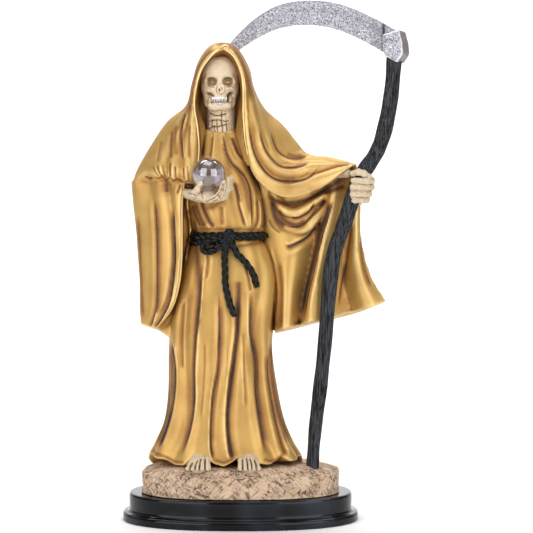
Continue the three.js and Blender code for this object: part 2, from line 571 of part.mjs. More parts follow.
const LOOP = [
  [-3.2, -9.1, 54.6], [-6.4, -9.1, 54], [-8.4, -8.6, 52.8], [-8.3, -8.8, 51.6], [-7, -9.2, 51.2],
  [-5.4, -9.4, 52], [-3.2, -9.5, 53.9],
]
const FIRST_TAIL = [
  [-3, -9.4, 54.4], [-3.5, -9.2, 50.3], [-3.4, -9.3, 47], [-3.3, -9.4, 43.6], [-2.6, -9.5, 40.4],
  [-1.2, -9.6, 36.3],
]
const SECOND_TAIL = [
  [-2.3, -9.4, 54.4], [-0.6, -9.2, 50.8], [1.2, -9, 48.9], [3, -8.4, 46.2], [4.1, -7.9, 42.9],
]

function rope() {
  const turns = Array.from({ length: 17 }, (_, i) => lerp(-0.02, 0.52, i / 16))
  const band = turns.map((turn) => spot(gownPoint(BELT_HEIGHT, turn, 0.5)))
  const thinner = ROPE_DIAMETER * 0.88
  return [
    ropeAlong(new THREE.CatmullRomCurve3(band), 15),
    ropeAlong(rail(LOOP), 9, thinner),
    ropeAlong(rail(FIRST_TAIL), 11, thinner),
    ropeAlong(rail(SECOND_TAIL), 9, thinner),
    ellipsoid([-2.6, -8.9, 55], [1.45, 1.5, 1.45], [8, 5]),
  ]
}

// Blade: a curved plate, thick at its outer spine and thin at its inner edge, that grows from the socket.
const bladeFrame = () => {
  const curve = handleCurve(0)
  const turn = THREE.MathUtils.degToRad(BLADE_TURN)
  return {
    root: curve.getPoint(1),
    out: new THREE.Vector3(-Math.cos(turn), Math.sin(turn), 0),
    side: new THREE.Vector3(-Math.sin(turn), -Math.cos(turn), 0),
    up: new THREE.Vector3(0, 0, 1),
  }
}

// The blade's middle line, as parts of its reach, and its width, as parts of the full width.
const BLADE_SHAPE = [
  [0.01, 0.008, 0.98], [0.146, 0.085, 0.97], [0.3, 0.152, 1], [0.45, 0.182, 1], [0.6, 0.178, 0.94],
  [0.72, 0.14, 0.82], [0.84, 0.07, 0.62], [0.93, -0.005, 0.38], [1, -0.085, 0.06],
]

function blade() {
  const { root, out, side, up } = bladeFrame()
  const line = BLADE_SHAPE.map(([along, rise]) => [along * BLADE_REACH, rise * BLADE_REACH])
  const middle = new THREE.CatmullRomCurve3(line.map(([a, b]) => new THREE.Vector3(a, b, 0)))
  const widths = new THREE.CatmullRomCurve3(BLADE_SHAPE.map((row, i) => new THREE.Vector3(i, row[2], 0)))
  const steps = 16
  const rings = []
  for (let k = 0; k <= steps; k++) {
    const t = k / steps
    const [point, tangent] = [middle.getPoint(t), middle.getTangent(t)]
    const width = widths.getPoint(t).y * BLADE_WIDTH
    const normal = [-tangent.y, tangent.x]
    const thin = lerp(1, 0.35, t * t)
    const corner = (reach, thick) => root.clone()
      .addScaledVector(out, point.x + normal[0] * reach * width)
      .addScaledVector(up, point.y + normal[1] * reach * width)
      .addScaledVector(side, thick * thin / 2)
    rings.push([
      corner(0.5, BLADE_SPINE), corner(0.28, BLADE_SPINE * 0.9), corner(-0.5, BLADE_EDGE),
      corner(-0.5, -BLADE_EDGE), corner(0.28, -BLADE_SPINE * 0.9), corner(0.5, -BLADE_SPINE),
    ])
  }
  return loft(rings)
}

// The socket's outline across its width and height, seen from the front, and extruded through its depth.
function socket() {
  const { root, out, side, up } = bladeFrame()
  const outline = [[0.36, 0.46], [-0.5, 0.33], [-0.44, -0.32], [0.25, -0.59], [0.58, -0.29], [0.53, 0.06]]
  const corners = outline.map(([a, b]) => new THREE.Vector2(-a * SOCKET_WIDTH, b * SOCKET_HEIGHT))
  const shape = new THREE.Shape(corners)
  const block = new THREE.ExtrudeGeometry(shape, { depth: SOCKET_DEPTH, bevelEnabled: false })
  block.translate(0, 0, -SOCKET_DEPTH / 2)
  const base = new THREE.Matrix4().makeBasis(out.clone().negate(), up, side)
  return block.applyMatrix4(base.setPosition(root))
}

const glassBall = (extra = 0) => {
  const middle = spot(onPalm(PALM))
  const ball = new THREE.IcosahedronGeometry(BALL_DIAMETER / 2 + extra, 3)
  return ball.translate(middle.x, middle.y, middle.z)
}

// Assembly

const casting = fuse([
  rock(), gown(), cape(), drape(MANTLE, 28), drape(SLEEVE, 10), drape(PANEL, 8),
  ...swags(), neck(), ...openHand(), ...fist(), ...foot(-6.6, -12.4), ...foot(-0.6, 4.9), ...rope(),
]).add(skull())

const bored = filled(casting.subtract(solid(handle(GAP))).subtract(solid(glassBall(GAP))))
const head = fuse([blade(), socket()]).subtract(solid(handle(GAP)))

const finish = (color, roughness, metalness, more = {}) =>
  new THREE.MeshStandardMaterial({ color, roughness, metalness, ...more })

const group = new THREE.Group()
group.add(
  named('plinth', solid(plinth()), finish(0x0b0b0c, 0.12, 0)),
  named('figure', bored, finish(0xb98a35, 0.42, 0.6)),
  named('glass_ball', solid(glassBall()), finish(0xc9cbe6, 0.03, 0, { transparent: true, opacity: 0.4 })),
  named('scythe_handle', solid(handle()), finish(0x26262a, 0.6, 0)),
  named('scythe_blade', head, finish(0xa5a7ac, 0.4, 0.7)),
)

export default group
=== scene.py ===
"""The looks of the robed skeleton with a scythe and a glass ball. Shapes are in millimetres, Z up,
with the origin at the centre of the plinth's underside, and the figure faces -Y. Places on the figure
are in hundredths of its height: x and y from the origin, z from the top of the rock."""

import math

import bpy
import numpy as np
import openvdb
from mathutils import Euler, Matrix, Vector, noise
from mathutils.bvhtree import BVHTree


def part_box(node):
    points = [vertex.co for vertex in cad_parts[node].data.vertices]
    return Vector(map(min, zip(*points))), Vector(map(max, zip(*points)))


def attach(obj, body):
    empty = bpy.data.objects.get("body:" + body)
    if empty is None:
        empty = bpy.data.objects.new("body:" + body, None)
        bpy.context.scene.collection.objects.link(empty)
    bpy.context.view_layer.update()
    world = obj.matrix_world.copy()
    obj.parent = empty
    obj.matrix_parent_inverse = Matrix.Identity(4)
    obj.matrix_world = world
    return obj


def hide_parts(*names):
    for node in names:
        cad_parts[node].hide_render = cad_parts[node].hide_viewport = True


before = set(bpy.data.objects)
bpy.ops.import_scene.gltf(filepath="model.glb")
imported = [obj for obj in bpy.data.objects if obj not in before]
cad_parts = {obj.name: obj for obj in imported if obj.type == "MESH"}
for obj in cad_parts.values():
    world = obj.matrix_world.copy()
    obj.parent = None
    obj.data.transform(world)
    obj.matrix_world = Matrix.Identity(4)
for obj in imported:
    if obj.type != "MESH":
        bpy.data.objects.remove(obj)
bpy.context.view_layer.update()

MM = 0.001
PLINTH = {"width": 139, "depth": 80, "height": 16, "foot": 5, "step": 3.8, "power": 2.3}
ROCK = {"width": 118, "depth": 66, "bottom": 16.3, "top": 30, "power": 2.4}
FIGURE_HEIGHT = 249
SHARE = FIGURE_HEIGHT / 100
ROPE_RADIUS = 2.1
HANDLE_FOOT_RADIUS, HANDLE_RADIUS = 3.5, 4.3
HANDLE_BOTTOM, SOCKET_SEAT = 25, 8
BLADE_REACH, BLADE_WIDTH, BLADE_SPINE, BLADE_EDGE = 116, 15, 3.6, 0.8
BLADE_TURN = math.radians(26)
SOCKET = {"width": 11.8, "height": 18, "depth": 11.8, "corner": 1.1}
HEM_RADIUS, HEM_LIFT = 0.56, 0.3
# Between a hand and what it holds
HAND_GAP = 0.25

# Edge of the grid cells that each skin is made from, as (full, quick)
CELLS = {
    "gown": (0.7, 0.9), "mantle": (0.86, 1.0), "hood_lining": (0.9, 0.9), "rock": (0.55, 0.8),
    "skull": (0.24, 0.4), "teeth": (0.16, 0.2), "neck": (0.28, 0.35), "open_hand": (0.34, 0.45),
    "fist": (0.32, 0.45), "foot": (0.32, 0.4), "rope": (0.28, 0.4), "blade": (0.46, 0.46),
    "blade_socket": (0.36, 0.36),
}


def cell(name):
    full, quick = CELLS[name]
    return full


def spots(places):
    """Millimetres from hundredths of the figure's height."""
    return np.asarray(places, float) * SHARE + [0, 0, ROCK["top"]]


# Numbers and curves


def smooth_step(value, low, high):
    """0 below low, 1 above high, and a soft rise between."""
    t = np.clip((value - low) / (high - low), 0, 1)
    return t * t * (3 - 2 * t)


def bell(value, width=1.0):
    """1 at 0, and near 0 beyond twice the width on either side."""
    return np.exp(-((value / width) ** 2))


def mix(a, b, t):
    return a + (b - a) * t


def unit(vectors):
    return vectors / np.maximum(np.linalg.norm(vectors, axis=-1, keepdims=True), 1e-9)


def curve(places, t, power=0.0):
    """Points along a smooth curve through the places, for t from 0 to 1. A power of 0 takes the same
    share of t for each span, and 0.5 lets the spans' lengths count in the slopes."""
    p = np.asarray(places, float)
    p = np.vstack([2 * p[0] - p[1], p, 2 * p[-1] - p[-2]])
    at = np.clip(t, 0, 1) * (len(p) - 3)
    i = np.minimum(at.astype(int), len(p) - 4)
    u = (at - i)[:, None]
    a, b, c, d = p[i], p[i + 1], p[i + 2], p[i + 3]
    ab, bc, cd = [np.linalg.norm(y - x, axis=1)[:, None] ** power for x, y in ((a, b), (b, c), (c, d))]
    leave = ((b - a) / ab - (c - a) / (ab + bc) + (c - b) / bc) * bc
    arrive = ((c - b) / bc - (d - b) / (bc + cd) + (d - c) / cd) * bc
    squared, cubed = 3 * (c - b) - 2 * leave - arrive, 2 * (b - c) + leave + arrive
    return b + leave * u + squared * u**2 + cubed * u**3


def profile(rows, heights, column):
    """The column's value at each height, as a smooth curve through rows of [height, value, ...]."""
    rows = np.asarray(rows, float)
    z, value = rows[:, 0], rows[:, column]
    last = len(z) - 1
    before, after = np.maximum(np.arange(last + 1) - 1, 0), np.minimum(np.arange(last + 1) + 1, last)
    slope = (value[after] - value[before]) / (z[after] - z[before])
    i = np.clip(np.searchsorted(z, heights), 1, last)
    run = z[i] - z[i - 1]
    t = np.clip((heights - z[i - 1]) / run, 0, 1)
    rise = value[i] - value[i - 1]
    m0, m1 = slope[i - 1] * run, slope[i] * run
    return value[i - 1] + t * (m0 + t * (3 * rise - 2 * m0 - m1 + t * (m0 + m1 - 2 * rise)))


def oval(width, depth, power, turns):
    """Points of a squared-off oval, for turns from 0 to 1."""
    c, s = np.cos(turns * 2 * np.pi), np.sin(turns * 2 * np.pi)
    x = np.sign(c) * np.abs(c) ** (2 / power) * width / 2
    return np.stack([x, np.sign(s) * np.abs(s) ** (2 / power) * depth / 2], -1)


# Closed forms, each as (points, triangles)


def loft(rings):
    """A skin over rings of equally many points, closed by a fan at each end."""
    levels, count = rings.shape[:2]
    points = np.vstack([rings.reshape(-1, 3), rings[0].mean(0), rings[-1].mean(0)])
    here = np.arange(levels * count).reshape(levels, count)
    beside = np.roll(here, -1, axis=1)
    a, b, c, d = here[:-1].ravel(), beside[:-1].ravel(), beside[1:].ravel(), here[1:].ravel()
    first, last = len(points) - 2, len(points) - 1
    fans = [
        np.stack([np.full(count, first), beside[0], here[0]], -1),
        np.stack([np.full(count, last), here[-1], beside[-1]], -1),
    ]
    faces = np.vstack([np.stack([a, b, c], -1), np.stack([a, c, d], -1), *fans])
    corners = points[faces]
    volume = np.einsum("ij,ij->i", corners[:, 0], np.cross(corners[:, 1], corners[:, 2])).sum()
    return points, faces if volume > 0 else faces[:, ::-1]


# A way that no path begins in, to turn the first circle from
FIRST_SIDE = (0.31, 0.83, 0.47)


def rings_along(path, radius, sides):
    """Circles of a radius round each point of a path, carried along it without spinning."""
    path = np.asarray(path, float)
    radius = np.broadcast_to(radius, len(path))
    tangents = unit(np.gradient(path, axis=0))
    side = unit(np.cross(tangents[0], FIRST_SIDE))
    angles = np.arange(sides) / sides * 2 * np.pi
    rings = np.empty((len(path), sides, 3))
    for k, tangent in enumerate(tangents):
        side = unit(side - tangent * side.dot(tangent))
        circle = np.cos(angles)[:, None] * side + np.sin(angles)[:, None] * np.cross(tangent, side)
        rings[k] = path[k] + radius[k] * circle
    return rings


def rounded_tube(places, from_radius, to_radius, steps=40, sides=24):
    """A tube through places on the figure, with round ends. Radii are in hundredths of its height."""
    path = curve(spots(places), np.linspace(0, 1, steps))
    radius = np.linspace(from_radius, to_radius, steps) * SHARE
    way = np.linspace(0, 1, 8)[1:]
    start = path[0] - np.outer(way[::-1], unit(path[1] - path[0])) * radius[0]
    end = path[-1] + np.outer(way, unit(path[-1] - path[-2])) * radius[-1]
    cap = np.sqrt(np.maximum(1 - way**2, 0.02))
    radii = np.concatenate([cap[::-1] * radius[0], radius, cap * radius[-1]])
    return loft(rings_along(np.vstack([start, path, end]), radii, sides))


def drape(rails, stations, fine):
    """Cloth carved between rails, each a line from one end of the cloth to the other. The cloth runs
    smoothly over a soft rail, and has an edge or a hollow at a hard one."""
    t = np.linspace(0, 1, stations)
    lines = np.stack([curve(spots(places), t) for _, _, _, places in rails], 1)
    travel = unit(np.gradient(lines, axis=0).sum(1))
    middle = lines.mean(1)
    ways = unit(unit(lines - np.roll(lines, 1, 1)) + unit(np.roll(lines, -1, 1) - lines))
    spans = []
    for i, (_, soft, puff, _) in enumerate(rails):
        j = (i + 1) % len(rails)
        chord = lines[:, j] - lines[:, i]
        length = np.linalg.norm(chord, axis=1, keepdims=True)
        bulge = unit(np.cross(chord, travel)) * length * puff * 4
        inward = np.einsum("ij,ij->i", bulge, (lines[:, i] + lines[:, j]) / 2 - middle) < 0
        bulge[inward] *= -1
        leave = ways[:, i] * length if soft else chord + bulge
        arrive = ways[:, j] * length if rails[j][1] else chord - bulge
        u = (np.arange(fine) / fine)[None, :, None]
        span = lines[:, i, None] + chord[:, None] * u * u * (3 - 2 * u)
        spans.append(span + leave[:, None] * u * (1 - u) ** 2 - arrive[:, None] * u * u * (1 - u))
    return loft(np.concatenate(spans, 1))


# Skins: one closed surface of four-sided faces


def skin(forms, voxel):
    """One surface round overlapping closed forms."""
    counts = np.cumsum([0] + [len(points) for points, _ in forms])
    points = np.vstack([points for points, _ in forms]).astype(np.float32)
    faces = np.vstack([faces + start for (_, faces), start in zip(forms, counts)]).astype(np.uint32)
    grid = openvdb.FloatGrid.createLevelSetFromPolygons(
        points, triangles=faces, transform=openvdb.createLinearTransform(voxelSize=voxel)
    )
    return outward(*grid.convertToPolygons(isovalue=0.0)[::2])


def outward(points, quads):
    """The same faces, turned so that their front is outside."""
    points, quads = points.astype(float), quads.astype(int)
    a, b, c, d = [points[quads[:, k]] for k in range(4)]
    area = np.cross(c - a, d - b)
    return points, quads if (area * (a - points.mean(0))).sum() > 0 else quads[:, ::-1]


class Mesh:
    """Points and four-sided faces, with the sums over neighbours that smoothing and shading need."""

    def __init__(self, points, quads):
        self.points, self.quads = points, quads
        pairs = np.sort(np.vstack([quads[:, [k, (k + 1) % 4]] for k in range(4)]), axis=1)
        self.pairs = np.unique(pairs, axis=0)
        self.degree = np.maximum(np.bincount(self.pairs.ravel(), minlength=len(points)), 1)

    def average(self, values):
        """The mean over each point's neighbours."""
        a, b = self.pairs.T
        columns = values.reshape(len(values), -1)
        sums = [
            np.bincount(a, columns[b, k], len(values)) + np.bincount(b, columns[a, k], len(values))
            for k in range(columns.shape[1])
        ]
        return (np.stack(sums, -1) / self.degree[:, None]).reshape(values.shape)

    def blurred(self, values, rounds):
        """The values, spread over neighbours a number of times."""
        for _ in range(rounds):
            values = mix(values, self.average(values), 0.6)
        return values

    def soften(self, rounds):
        """Smooths without shrinking: each step in is followed by a step out."""
        for _ in range(rounds):
            for amount in (0.5, -0.52):
                self.points = mix(self.points, self.average(self.points), amount)
        return self

    def normals(self):
        a, b, c, d = [self.points[self.quads[:, k]] for k in range(4)]
        area = np.cross(c - a, d - b)
        sums = np.zeros_like(self.points)
        for axis in range(3):
            for k in range(4):
                sums[:, axis] += np.bincount(self.quads[:, k], area[:, axis], len(sums))
        return unit(sums)

    def push(self, distance):
        """Moves each point out by its own distance."""
        self.points = self.points + self.normals() * distance[:, None]
        return self


# How much steeper one side of a stroke is than the other; it changes sides from stroke to stroke
STEEPER = 0.45
# The share of a stroke's length over which it fades in at one end and out at the other
FADE = 0.12


def carve(mesh, strokes, where=spots, facing=0.1):
    """Cuts strokes into the front. Each is (depth, width, shade, line), with the line in x and z, and
    fades out at its ends. Returns how much brown the strokes leave on each point, from 0 to 1."""
    toward = -mesh.normals()[:, 1]
    front, seen = smooth_step(toward, facing, facing + 0.3), smooth_step(toward, -0.3, 0)
    cut, shade = np.zeros(len(mesh.points)), np.zeros(len(mesh.points))
    flat = mesh.points[:, [0, 2]]
    for i, (depth, width, brown, line) in enumerate(strokes):
        line = where([[x, 0, z] for x, z in line])[:, [0, 2]]
        steps = int(np.linalg.norm(np.diff(line, axis=0), axis=1).sum() / min(0.25, width / 2))
        path = curve(line, np.linspace(0, 1, steps))
        way = unit(np.gradient(path, axis=0))
        low, high = path.min(0) - 4 * width, path.max(0) + 4 * width
        near = np.nonzero(((flat > low) & (flat < high)).all(1) & (seen > 0))[0]
        offset = flat[near, None] - path[None]
        nearest = np.linalg.norm(offset, axis=2).argmin(1)
        offset = offset[np.arange(len(near)), nearest]
        side = way[nearest, 0] * offset[:, 1] - way[nearest, 1] * offset[:, 0]
        gentle = 1 + STEEPER * np.tanh(side / width) * (1 if i % 2 else -1)
        gap = np.linalg.norm(offset, axis=1) / width / gentle
        ends = smooth_step(nearest / steps, 0, FADE) * smooth_step(1 - nearest / steps, 0, FADE)
        groove = 0.5 * bell(gap) + 0.5 * bell(gap, 0.4) - 0.3 * bell(gap - 2)
        cut[near] += depth * groove * ends * front[near]
        soft = 0.65 * bell(gap, 0.48) + 0.35 * bell(gap, 1.1)
        shade[near] = np.maximum(shade[near], 1.15 * brown * soft * ends * seen[near])
    mesh.push(-cut)
    return np.minimum(shade, 1)


# The power of an oval that is a little squared off; 2 would be a true ellipse
SQUARED_OFF = 2.4


def dent(mesh, dents, where):
    """Presses ovals into the front, as (depth, x, z, half width, half height, softness of the edge).
    A depth below 0 raises it. Returns how deep each point was pressed, in millimetres."""
    front = smooth_step(-mesh.normals()[:, 1], 0, 0.3)
    pressed = np.zeros(len(mesh.points))
    for depth, x, z, wide, high, soft in dents:
        middle = where([[x, 0, z]])[0]
        away = (mesh.points - middle)[:, [0, 2]] / [wide, high]
        reach = (np.abs(away) ** SQUARED_OFF).sum(1) ** (1 / SQUARED_OFF)
        pressed += depth * smooth_step(-reach, -1, soft - 1) * front
    mesh.points[:, 1] += pressed
    return pressed


# Clay: forms from distances on a grid, joined softly


class Clay:
    """A form as distances on a grid: below 0 inside it. Places are in millimetres."""

    def __init__(self, low, high, voxel):
        self.low, self.voxel = np.asarray(low, float), voxel
        axes = [np.arange(a, b, voxel) for a, b in zip(low, high)]
        self.at = np.stack(np.meshgrid(*axes, indexing="ij"), -1)
        self.field = np.full(self.at.shape[:3], 1e3)

    def limb(self, places, radii):
        """Distance to a chain of tapered rounded rods."""
        best = np.full(self.at.shape[:3], 1e3)
        for a, b, ra, rb in zip(places, places[1:], radii, radii[1:]):
            a, b = np.asarray(a, float), np.asarray(b, float)
            way = b - a
            t = np.clip((self.at - a) @ way / max(way @ way, 1e-9), 0, 1)
            away = np.linalg.norm(self.at - a - t[..., None] * way, axis=-1)
            best = np.minimum(best, away - mix(ra, rb, t))
        return best

    def egg(self, middle, radii):
        """Distance to an ellipsoid, near enough by its surface."""
        p, r = self.at - np.asarray(middle, float), np.asarray(radii, float)
        near, far = np.linalg.norm(p / r, axis=-1), np.linalg.norm(p / r**2, axis=-1)
        return near * (near - 1) / np.maximum(far, 1e-6)

    def add(self, form, soft):
        """Joins a form, with a fillet of a softness."""
        h = np.clip(0.5 + 0.5 * (self.field - form) / soft, 0, 1)
        self.field = mix(self.field, form, h) - soft * h * (1 - h)

    def cut(self, form, soft):
        """Takes a form away, with a softened edge."""
        h = np.clip(0.5 - 0.5 * (self.field + form) / soft, 0, 1)
        self.field = mix(self.field, -form, h) + soft * h * (1 - h)

    def mesh(self):
        grid = openvdb.FloatGrid()
        grid.background = 1e3
        grid.copyFromArray(self.field.astype(np.float32))
        points, quads = outward(*grid.convertToPolygons(isovalue=0.0)[::2])
        return Mesh(points * self.voxel + self.low, quads)


# Robe: places in hundredths of the figure's height

# The gown's outline, as (height, left, right, front, back)
GOWN = [
    [-0.8, -21.9, 15.2, -10.9, 11.2], [2.4, -21.8, 14.4, -10.8, 10.8], [6, -20, 12.3, -10.4, 10.2],
    [11, -17.9, 10.2, -10, 9.4], [18, -17, 8.6, -9.6, 8.8], [28, -16.9, 7.3, -9.2, 8.2],
    [38, -16.2, 8.2, -8.8, 7.6], [46, -14.2, 8.6, -8.3, 7], [52, -12.2, 6.6, -7.6, 6],
    [54.7, -11.2, 5.3, -7.2, 5.4], [57.5, -12, 6.4, -7.6, 5.8], [64, -12.6, 5.6, -7.7, 6],
    [71, -12, 3.6, -7, 6], [76.6, -9.8, 0.8, -5.8, 5], [79.3, -8.7, -0.7, -4.9, 3.6],
]
BELT_HEIGHT = 54.7
# Valleys of the skirt, as (turn at the belt, turn at the hem, height where it begins, depth)
SKIRT_FOLDS = [
    [0.04, 0.035, 50, 0.9], [0.135, 0.135, 56, 1.7], [0.215, 0.228, 43, 1.5], [0.27, 0.268, 43, 1.6],
    [0.365, 0.36, 56, 1.8], [0.46, 0.455, 34, 1.3], [0.58, 0.58, 45, 1], [0.69, 0.69, 50, 1.2],
    [0.8, 0.8, 50, 1.2], [0.91, 0.91, 46, 1],
]
FOLD_WIDTH = 0.018
# The back of the mantle, as (height, left, right, back)
CAPE = [
    [31.4, -20.6, 9, 11.6], [36, -22.2, 12, 11.4], [48, -23.4, 13, 10.8], [60, -24, 13, 10.2],
    [70, -23.4, 13, 9.4], [76, -20.2, 12.4, 8.6], [81, -16.6, 9.2, 7.4], [85, -12.4, 5, 7.6],
    [91, -11, 2.6, 8], [95.6, -9.6, 0.8, 6.2], [99.3, -6.4, -2, 2.6],
]
CAPE_FOLDS, CAPE_FRONT = 5, 0.6


def gown_points(height, turns, out):
    """Points round the gown, each out by the same or its own amount, at one height or one for each."""
    height = np.broadcast_to(height, turns.shape)
    left, right, front, back = [profile(GOWN, height, column) for column in (1, 2, 3, 4)]
    wide, deep = np.cos(turns * 2 * np.pi), np.sin(turns * 2 * np.pi)
    reach = (np.abs(wide) ** SQUARED_OFF + np.abs(deep) ** SQUARED_OFF) ** (-1 / SQUARED_OFF)
    depth = np.where(deep > 0, -front, back)
    x = (left + right) / 2 + wide * (reach * (right - left) / 2 + out)
    return spots(np.stack([x, -deep * (reach * depth + out), height], -1))


# The hem's height over x in millimetres, where it lifts over the feet
GOWN_HEM = [
    [-53.4, 3.24], [-44.4, 3.02], [-37, 1.78], [-32.1, 2.03], [-28.4, 3.52], [-24, 4.14],
    [-19.8, 3.89], [-17.2, 3.02], [-13.5, 2.28], [-8.6, 1.78], [-4.3, 2.51], [0, 3.63], [5, 4],
    [9.3, 3.52], [12.4, 2.51], [19.2, 2.03], [23.5, 2.79], [27.2, 3.68], [31.5, 2.4], [35.9, 2.6],
]


def valleys(height, turns):
    """How far the gown stands out from its outline round one height: less in the valleys, a little more
    on both sides of each. They are shallower in front, where the creases are carved."""
    down = smooth_step(-height, -BELT_HEIGHT, -GOWN[0][0])
    lean = 0.05 * smooth_step(height, BELT_HEIGHT, GOWN[-1][0])
    out = np.zeros_like(turns)
    for belt, hem, start, depth in SKIRT_FOLDS:
        away = np.abs((turns - mix(belt, hem, down) - lean + 0.5) % 1 - 0.5) / FOLD_WIDTH
        below_belt = 0.15 + 0.85 * smooth_step(-height, -start, 30 - start)
        grown = below_belt if height < BELT_HEIGHT else 0.3
        in_front = 0.05 < belt < 0.5
        out -= (0.45 if in_front else 1) * depth * grown * (bell(away) - 0.3 * bell(away - 2.4))
    return out


def gown():
    """The gown with the valleys of its skirt, a hem that lifts over the feet and a sagging collar."""
    turns = np.arange(420) / 420
    hem_x, hem_height = np.array(GOWN_HEM).T
    collar_middle, collar_half, collar_sag, collar_low = -11.5, 7, 1.5, 74
    rings = []
    for height in np.linspace(GOWN[0][0], GOWN[-1][0], 260):
        out = valleys(height, turns)
        ring = gown_points(height, turns, out)
        lift = np.interp(ring[:, 0], hem_x, hem_height) - GOWN[0][0]
        front = smooth_step(np.sin(turns * 2 * np.pi), -0.5, 0)
        lift = lift * front * (1 - smooth_step(height, GOWN[0][0], 7))
        ring = gown_points(height + lift, turns, out)
        sag = np.clip(1 - ((ring[:, 0] - collar_middle) / collar_half) ** 2, -0.8, 1)
        ring[:, 2] -= collar_sag * sag * front * smooth_step(height, collar_low, GOWN[-1][0])
        rings.append(ring)
    return loft(np.stack(rings))


def cape():
    """The back of the mantle, with rounded folds that grow downward and a wavy lower edge."""
    across = np.linspace(0, np.pi, 240)
    rings = []
    for height in np.linspace(CAPE[0][0], CAPE[-1][0], 200):
        left, right, back = [profile(CAPE, np.array([height]), column)[0] for column in (1, 2, 3)]
        fold = np.cos(CAPE_FOLDS * 2 * across + 0.5 * math.sin(height * 0.09))
        loose, by_edge = smooth_step(-height, -84, -50), smooth_step(-height, -36, -31.4)
        wide = np.sign(np.cos(across)) * np.abs(np.cos(across)) ** 0.85
        x = (left + right) / 2 - wide * (right - left) / 2
        y = CAPE_FRONT + np.sin(across) ** 0.8 * (back + loose * fold - CAPE_FRONT)
        z = height + by_edge * (1.6 * np.abs(np.cos(across)) ** 5 - 0.4 * fold)
        ring = np.stack([x, y, z], -1)
        rings.append(np.vstack([ring, [[mix(left, right, 0.5), 0.2, height]]]))
    return loft(spots(np.stack(rings)))


# The carving's rails, as (name, whether it is rounded, how far the cloth after it puffs out, places)
MANTLE = [
    ("outer line", True, 0, [
        [-25.3, -1.2, 65.2], [-24.4, -0.6, 69.6], [-20.8, 0.4, 76.3], [-17, 0.8, 81.8],
        [-12.8, 1.2, 85.3], [-11.5, 1.2, 90.2], [-9.9, 1.2, 95.6], [-7.2, 0.8, 99.2], [-4.1, 0.6, 100],
        [-0.8, 0.8, 98.8], [2, 1.2, 94.1], [3.1, 1.2, 89.5], [5.5, 1.2, 84.9], [10, 0.8, 80.8],
        [13.1, 0, 77], [16.1, -0.8, 73.8], [21.5, -2.6, 73], [27.3, -5.2, 71.4]]),
    ("outer fold", True, 0.28, [
        [-21.6, -3.6, 67.8], [-21, -5.6, 70.4], [-18.4, -3.4, 75.8], [-15.6, -2.6, 80.6],
        [-12.2, -2, 85], [-11, -1.8, 90], [-9.5, -1.8, 95], [-6.9, -1.9, 98.5], [-4, -2, 99.4],
        [-1, -2.2, 98.1], [1.8, -2.4, 93.6], [2.9, -2.6, 89], [4.9, -3, 83.6], [7.4, -4.4, 78.3],
        [9.1, -5.2, 74.3], [12.5, -5, 72.5], [18, -4, 72.6], [26.9, -5.8, 71.3]]),
    ("middle fold", False, 0.3, [
        [-17, -5.6, 67.6], [-16.7, -8, 69.8], [-15.9, -5.6, 75.4], [-14, -4.4, 80.2],
        [-11.5, -3.8, 84.9], [-10.6, -3.6, 89.9], [-9.2, -3.5, 94.4], [-6.7, -3.6, 97.8],
        [-3.9, -3.6, 98.8], [-1.1, -4, 97.4], [1.3, -4.2, 93], [2.3, -4.4, 88.6], [3.6, -5.2, 83.3],
        [5.4, -6.4, 78.2], [7.4, -7.1, 73.1], [11.6, -7, 70.5], [17, -5.6, 71.9], [26.7, -6.3, 71.2]]),
    ("inner fold", False, 0.3, [
        [-13.6, -7, 66.9], [-13.4, -9.5, 69.4], [-13.5, -7.4, 75.4], [-12.2, -6, 80],
        [-10.8, -5.8, 84.8], [-10.2, -5.4, 89.7], [-8.9, -5.2, 94], [-6.5, -5, 97.2],
        [-3.9, -4.8, 98.3], [-1.2, -5.2, 96.9], [0.8, -6, 92.6], [1.5, -6.2, 88.3], [2, -6.8, 83],
        [2.9, -7.6, 77.4], [4.9, -8.2, 71.6], [10.5, -8.6, 67.4], [16.6, -7.5, 69.2],
        [26.4, -6.7, 71.1]]),
    ("rim", False, 0, [
        [-10.4, -7.6, 65.8], [-9.4, -9.2, 70], [-9.4, -8.4, 75.3], [-9.8, -7.8, 80.1],
        [-10.5, -7.4, 84.7], [-10, -7.1, 89.6], [-8.6, -6.8, 93.5], [-6.3, -6, 96.5],
        [-3.9, -5.4, 97.8], [-1.5, -6.2, 96.3], [0.3, -7, 92.4], [0.8, -7.3, 88], [0.8, -7.4, 83.2],
        [1.2, -8, 77.4], [3.2, -9.2, 68.7], [10, -9.8, 63.7], [18.2, -9.4, 65.6], [26.1, -7.2, 71]]),
    ("rim's inside", False, 0, [
        [-9.6, -5.5, 66.4], [-8.8, -5.5, 71.2], [-8.8, -5, 75.3], [-9.2, -4.4, 80.1],
        [-10.3, -4, 84.7], [-9.9, -3.8, 89.4], [-8.5, -3.8, 93.3], [-6.3, -3.6, 96], [-4, -3.4, 97],
        [-2, -3.6, 95.6], [-0.4, -3.8, 92], [0.2, -4, 88], [0.4, -4, 83.2], [1, -4, 77.4],
        [3.5, -5, 69.4], [10, -5.5, 64.6], [18, -5.5, 66.2], [25.8, -5.2, 70.6]]),
    ("lining", True, 0, [
        [-18.6, 2.4, 65.8], [-18, 3, 70], [-16.4, 3.4, 74.4], [-13.6, 3.6, 79.4],
        [-10.8, 3.8, 84.2], [-9.8, 4.2, 88.8], [-8.4, 4.2, 93], [-6.6, 3.2, 96.4], [-4.2, 2.6, 97.6],
        [-1.8, 3.2, 96.2], [0.2, 4, 92], [1.2, 4, 88], [2.8, 3.8, 83.8], [6, 3.6, 79.4], [9, 3.6, 75],
        [13, 2.8, 70], [19, 1, 69.5], [26.5, -3.6, 70.9]]),
]
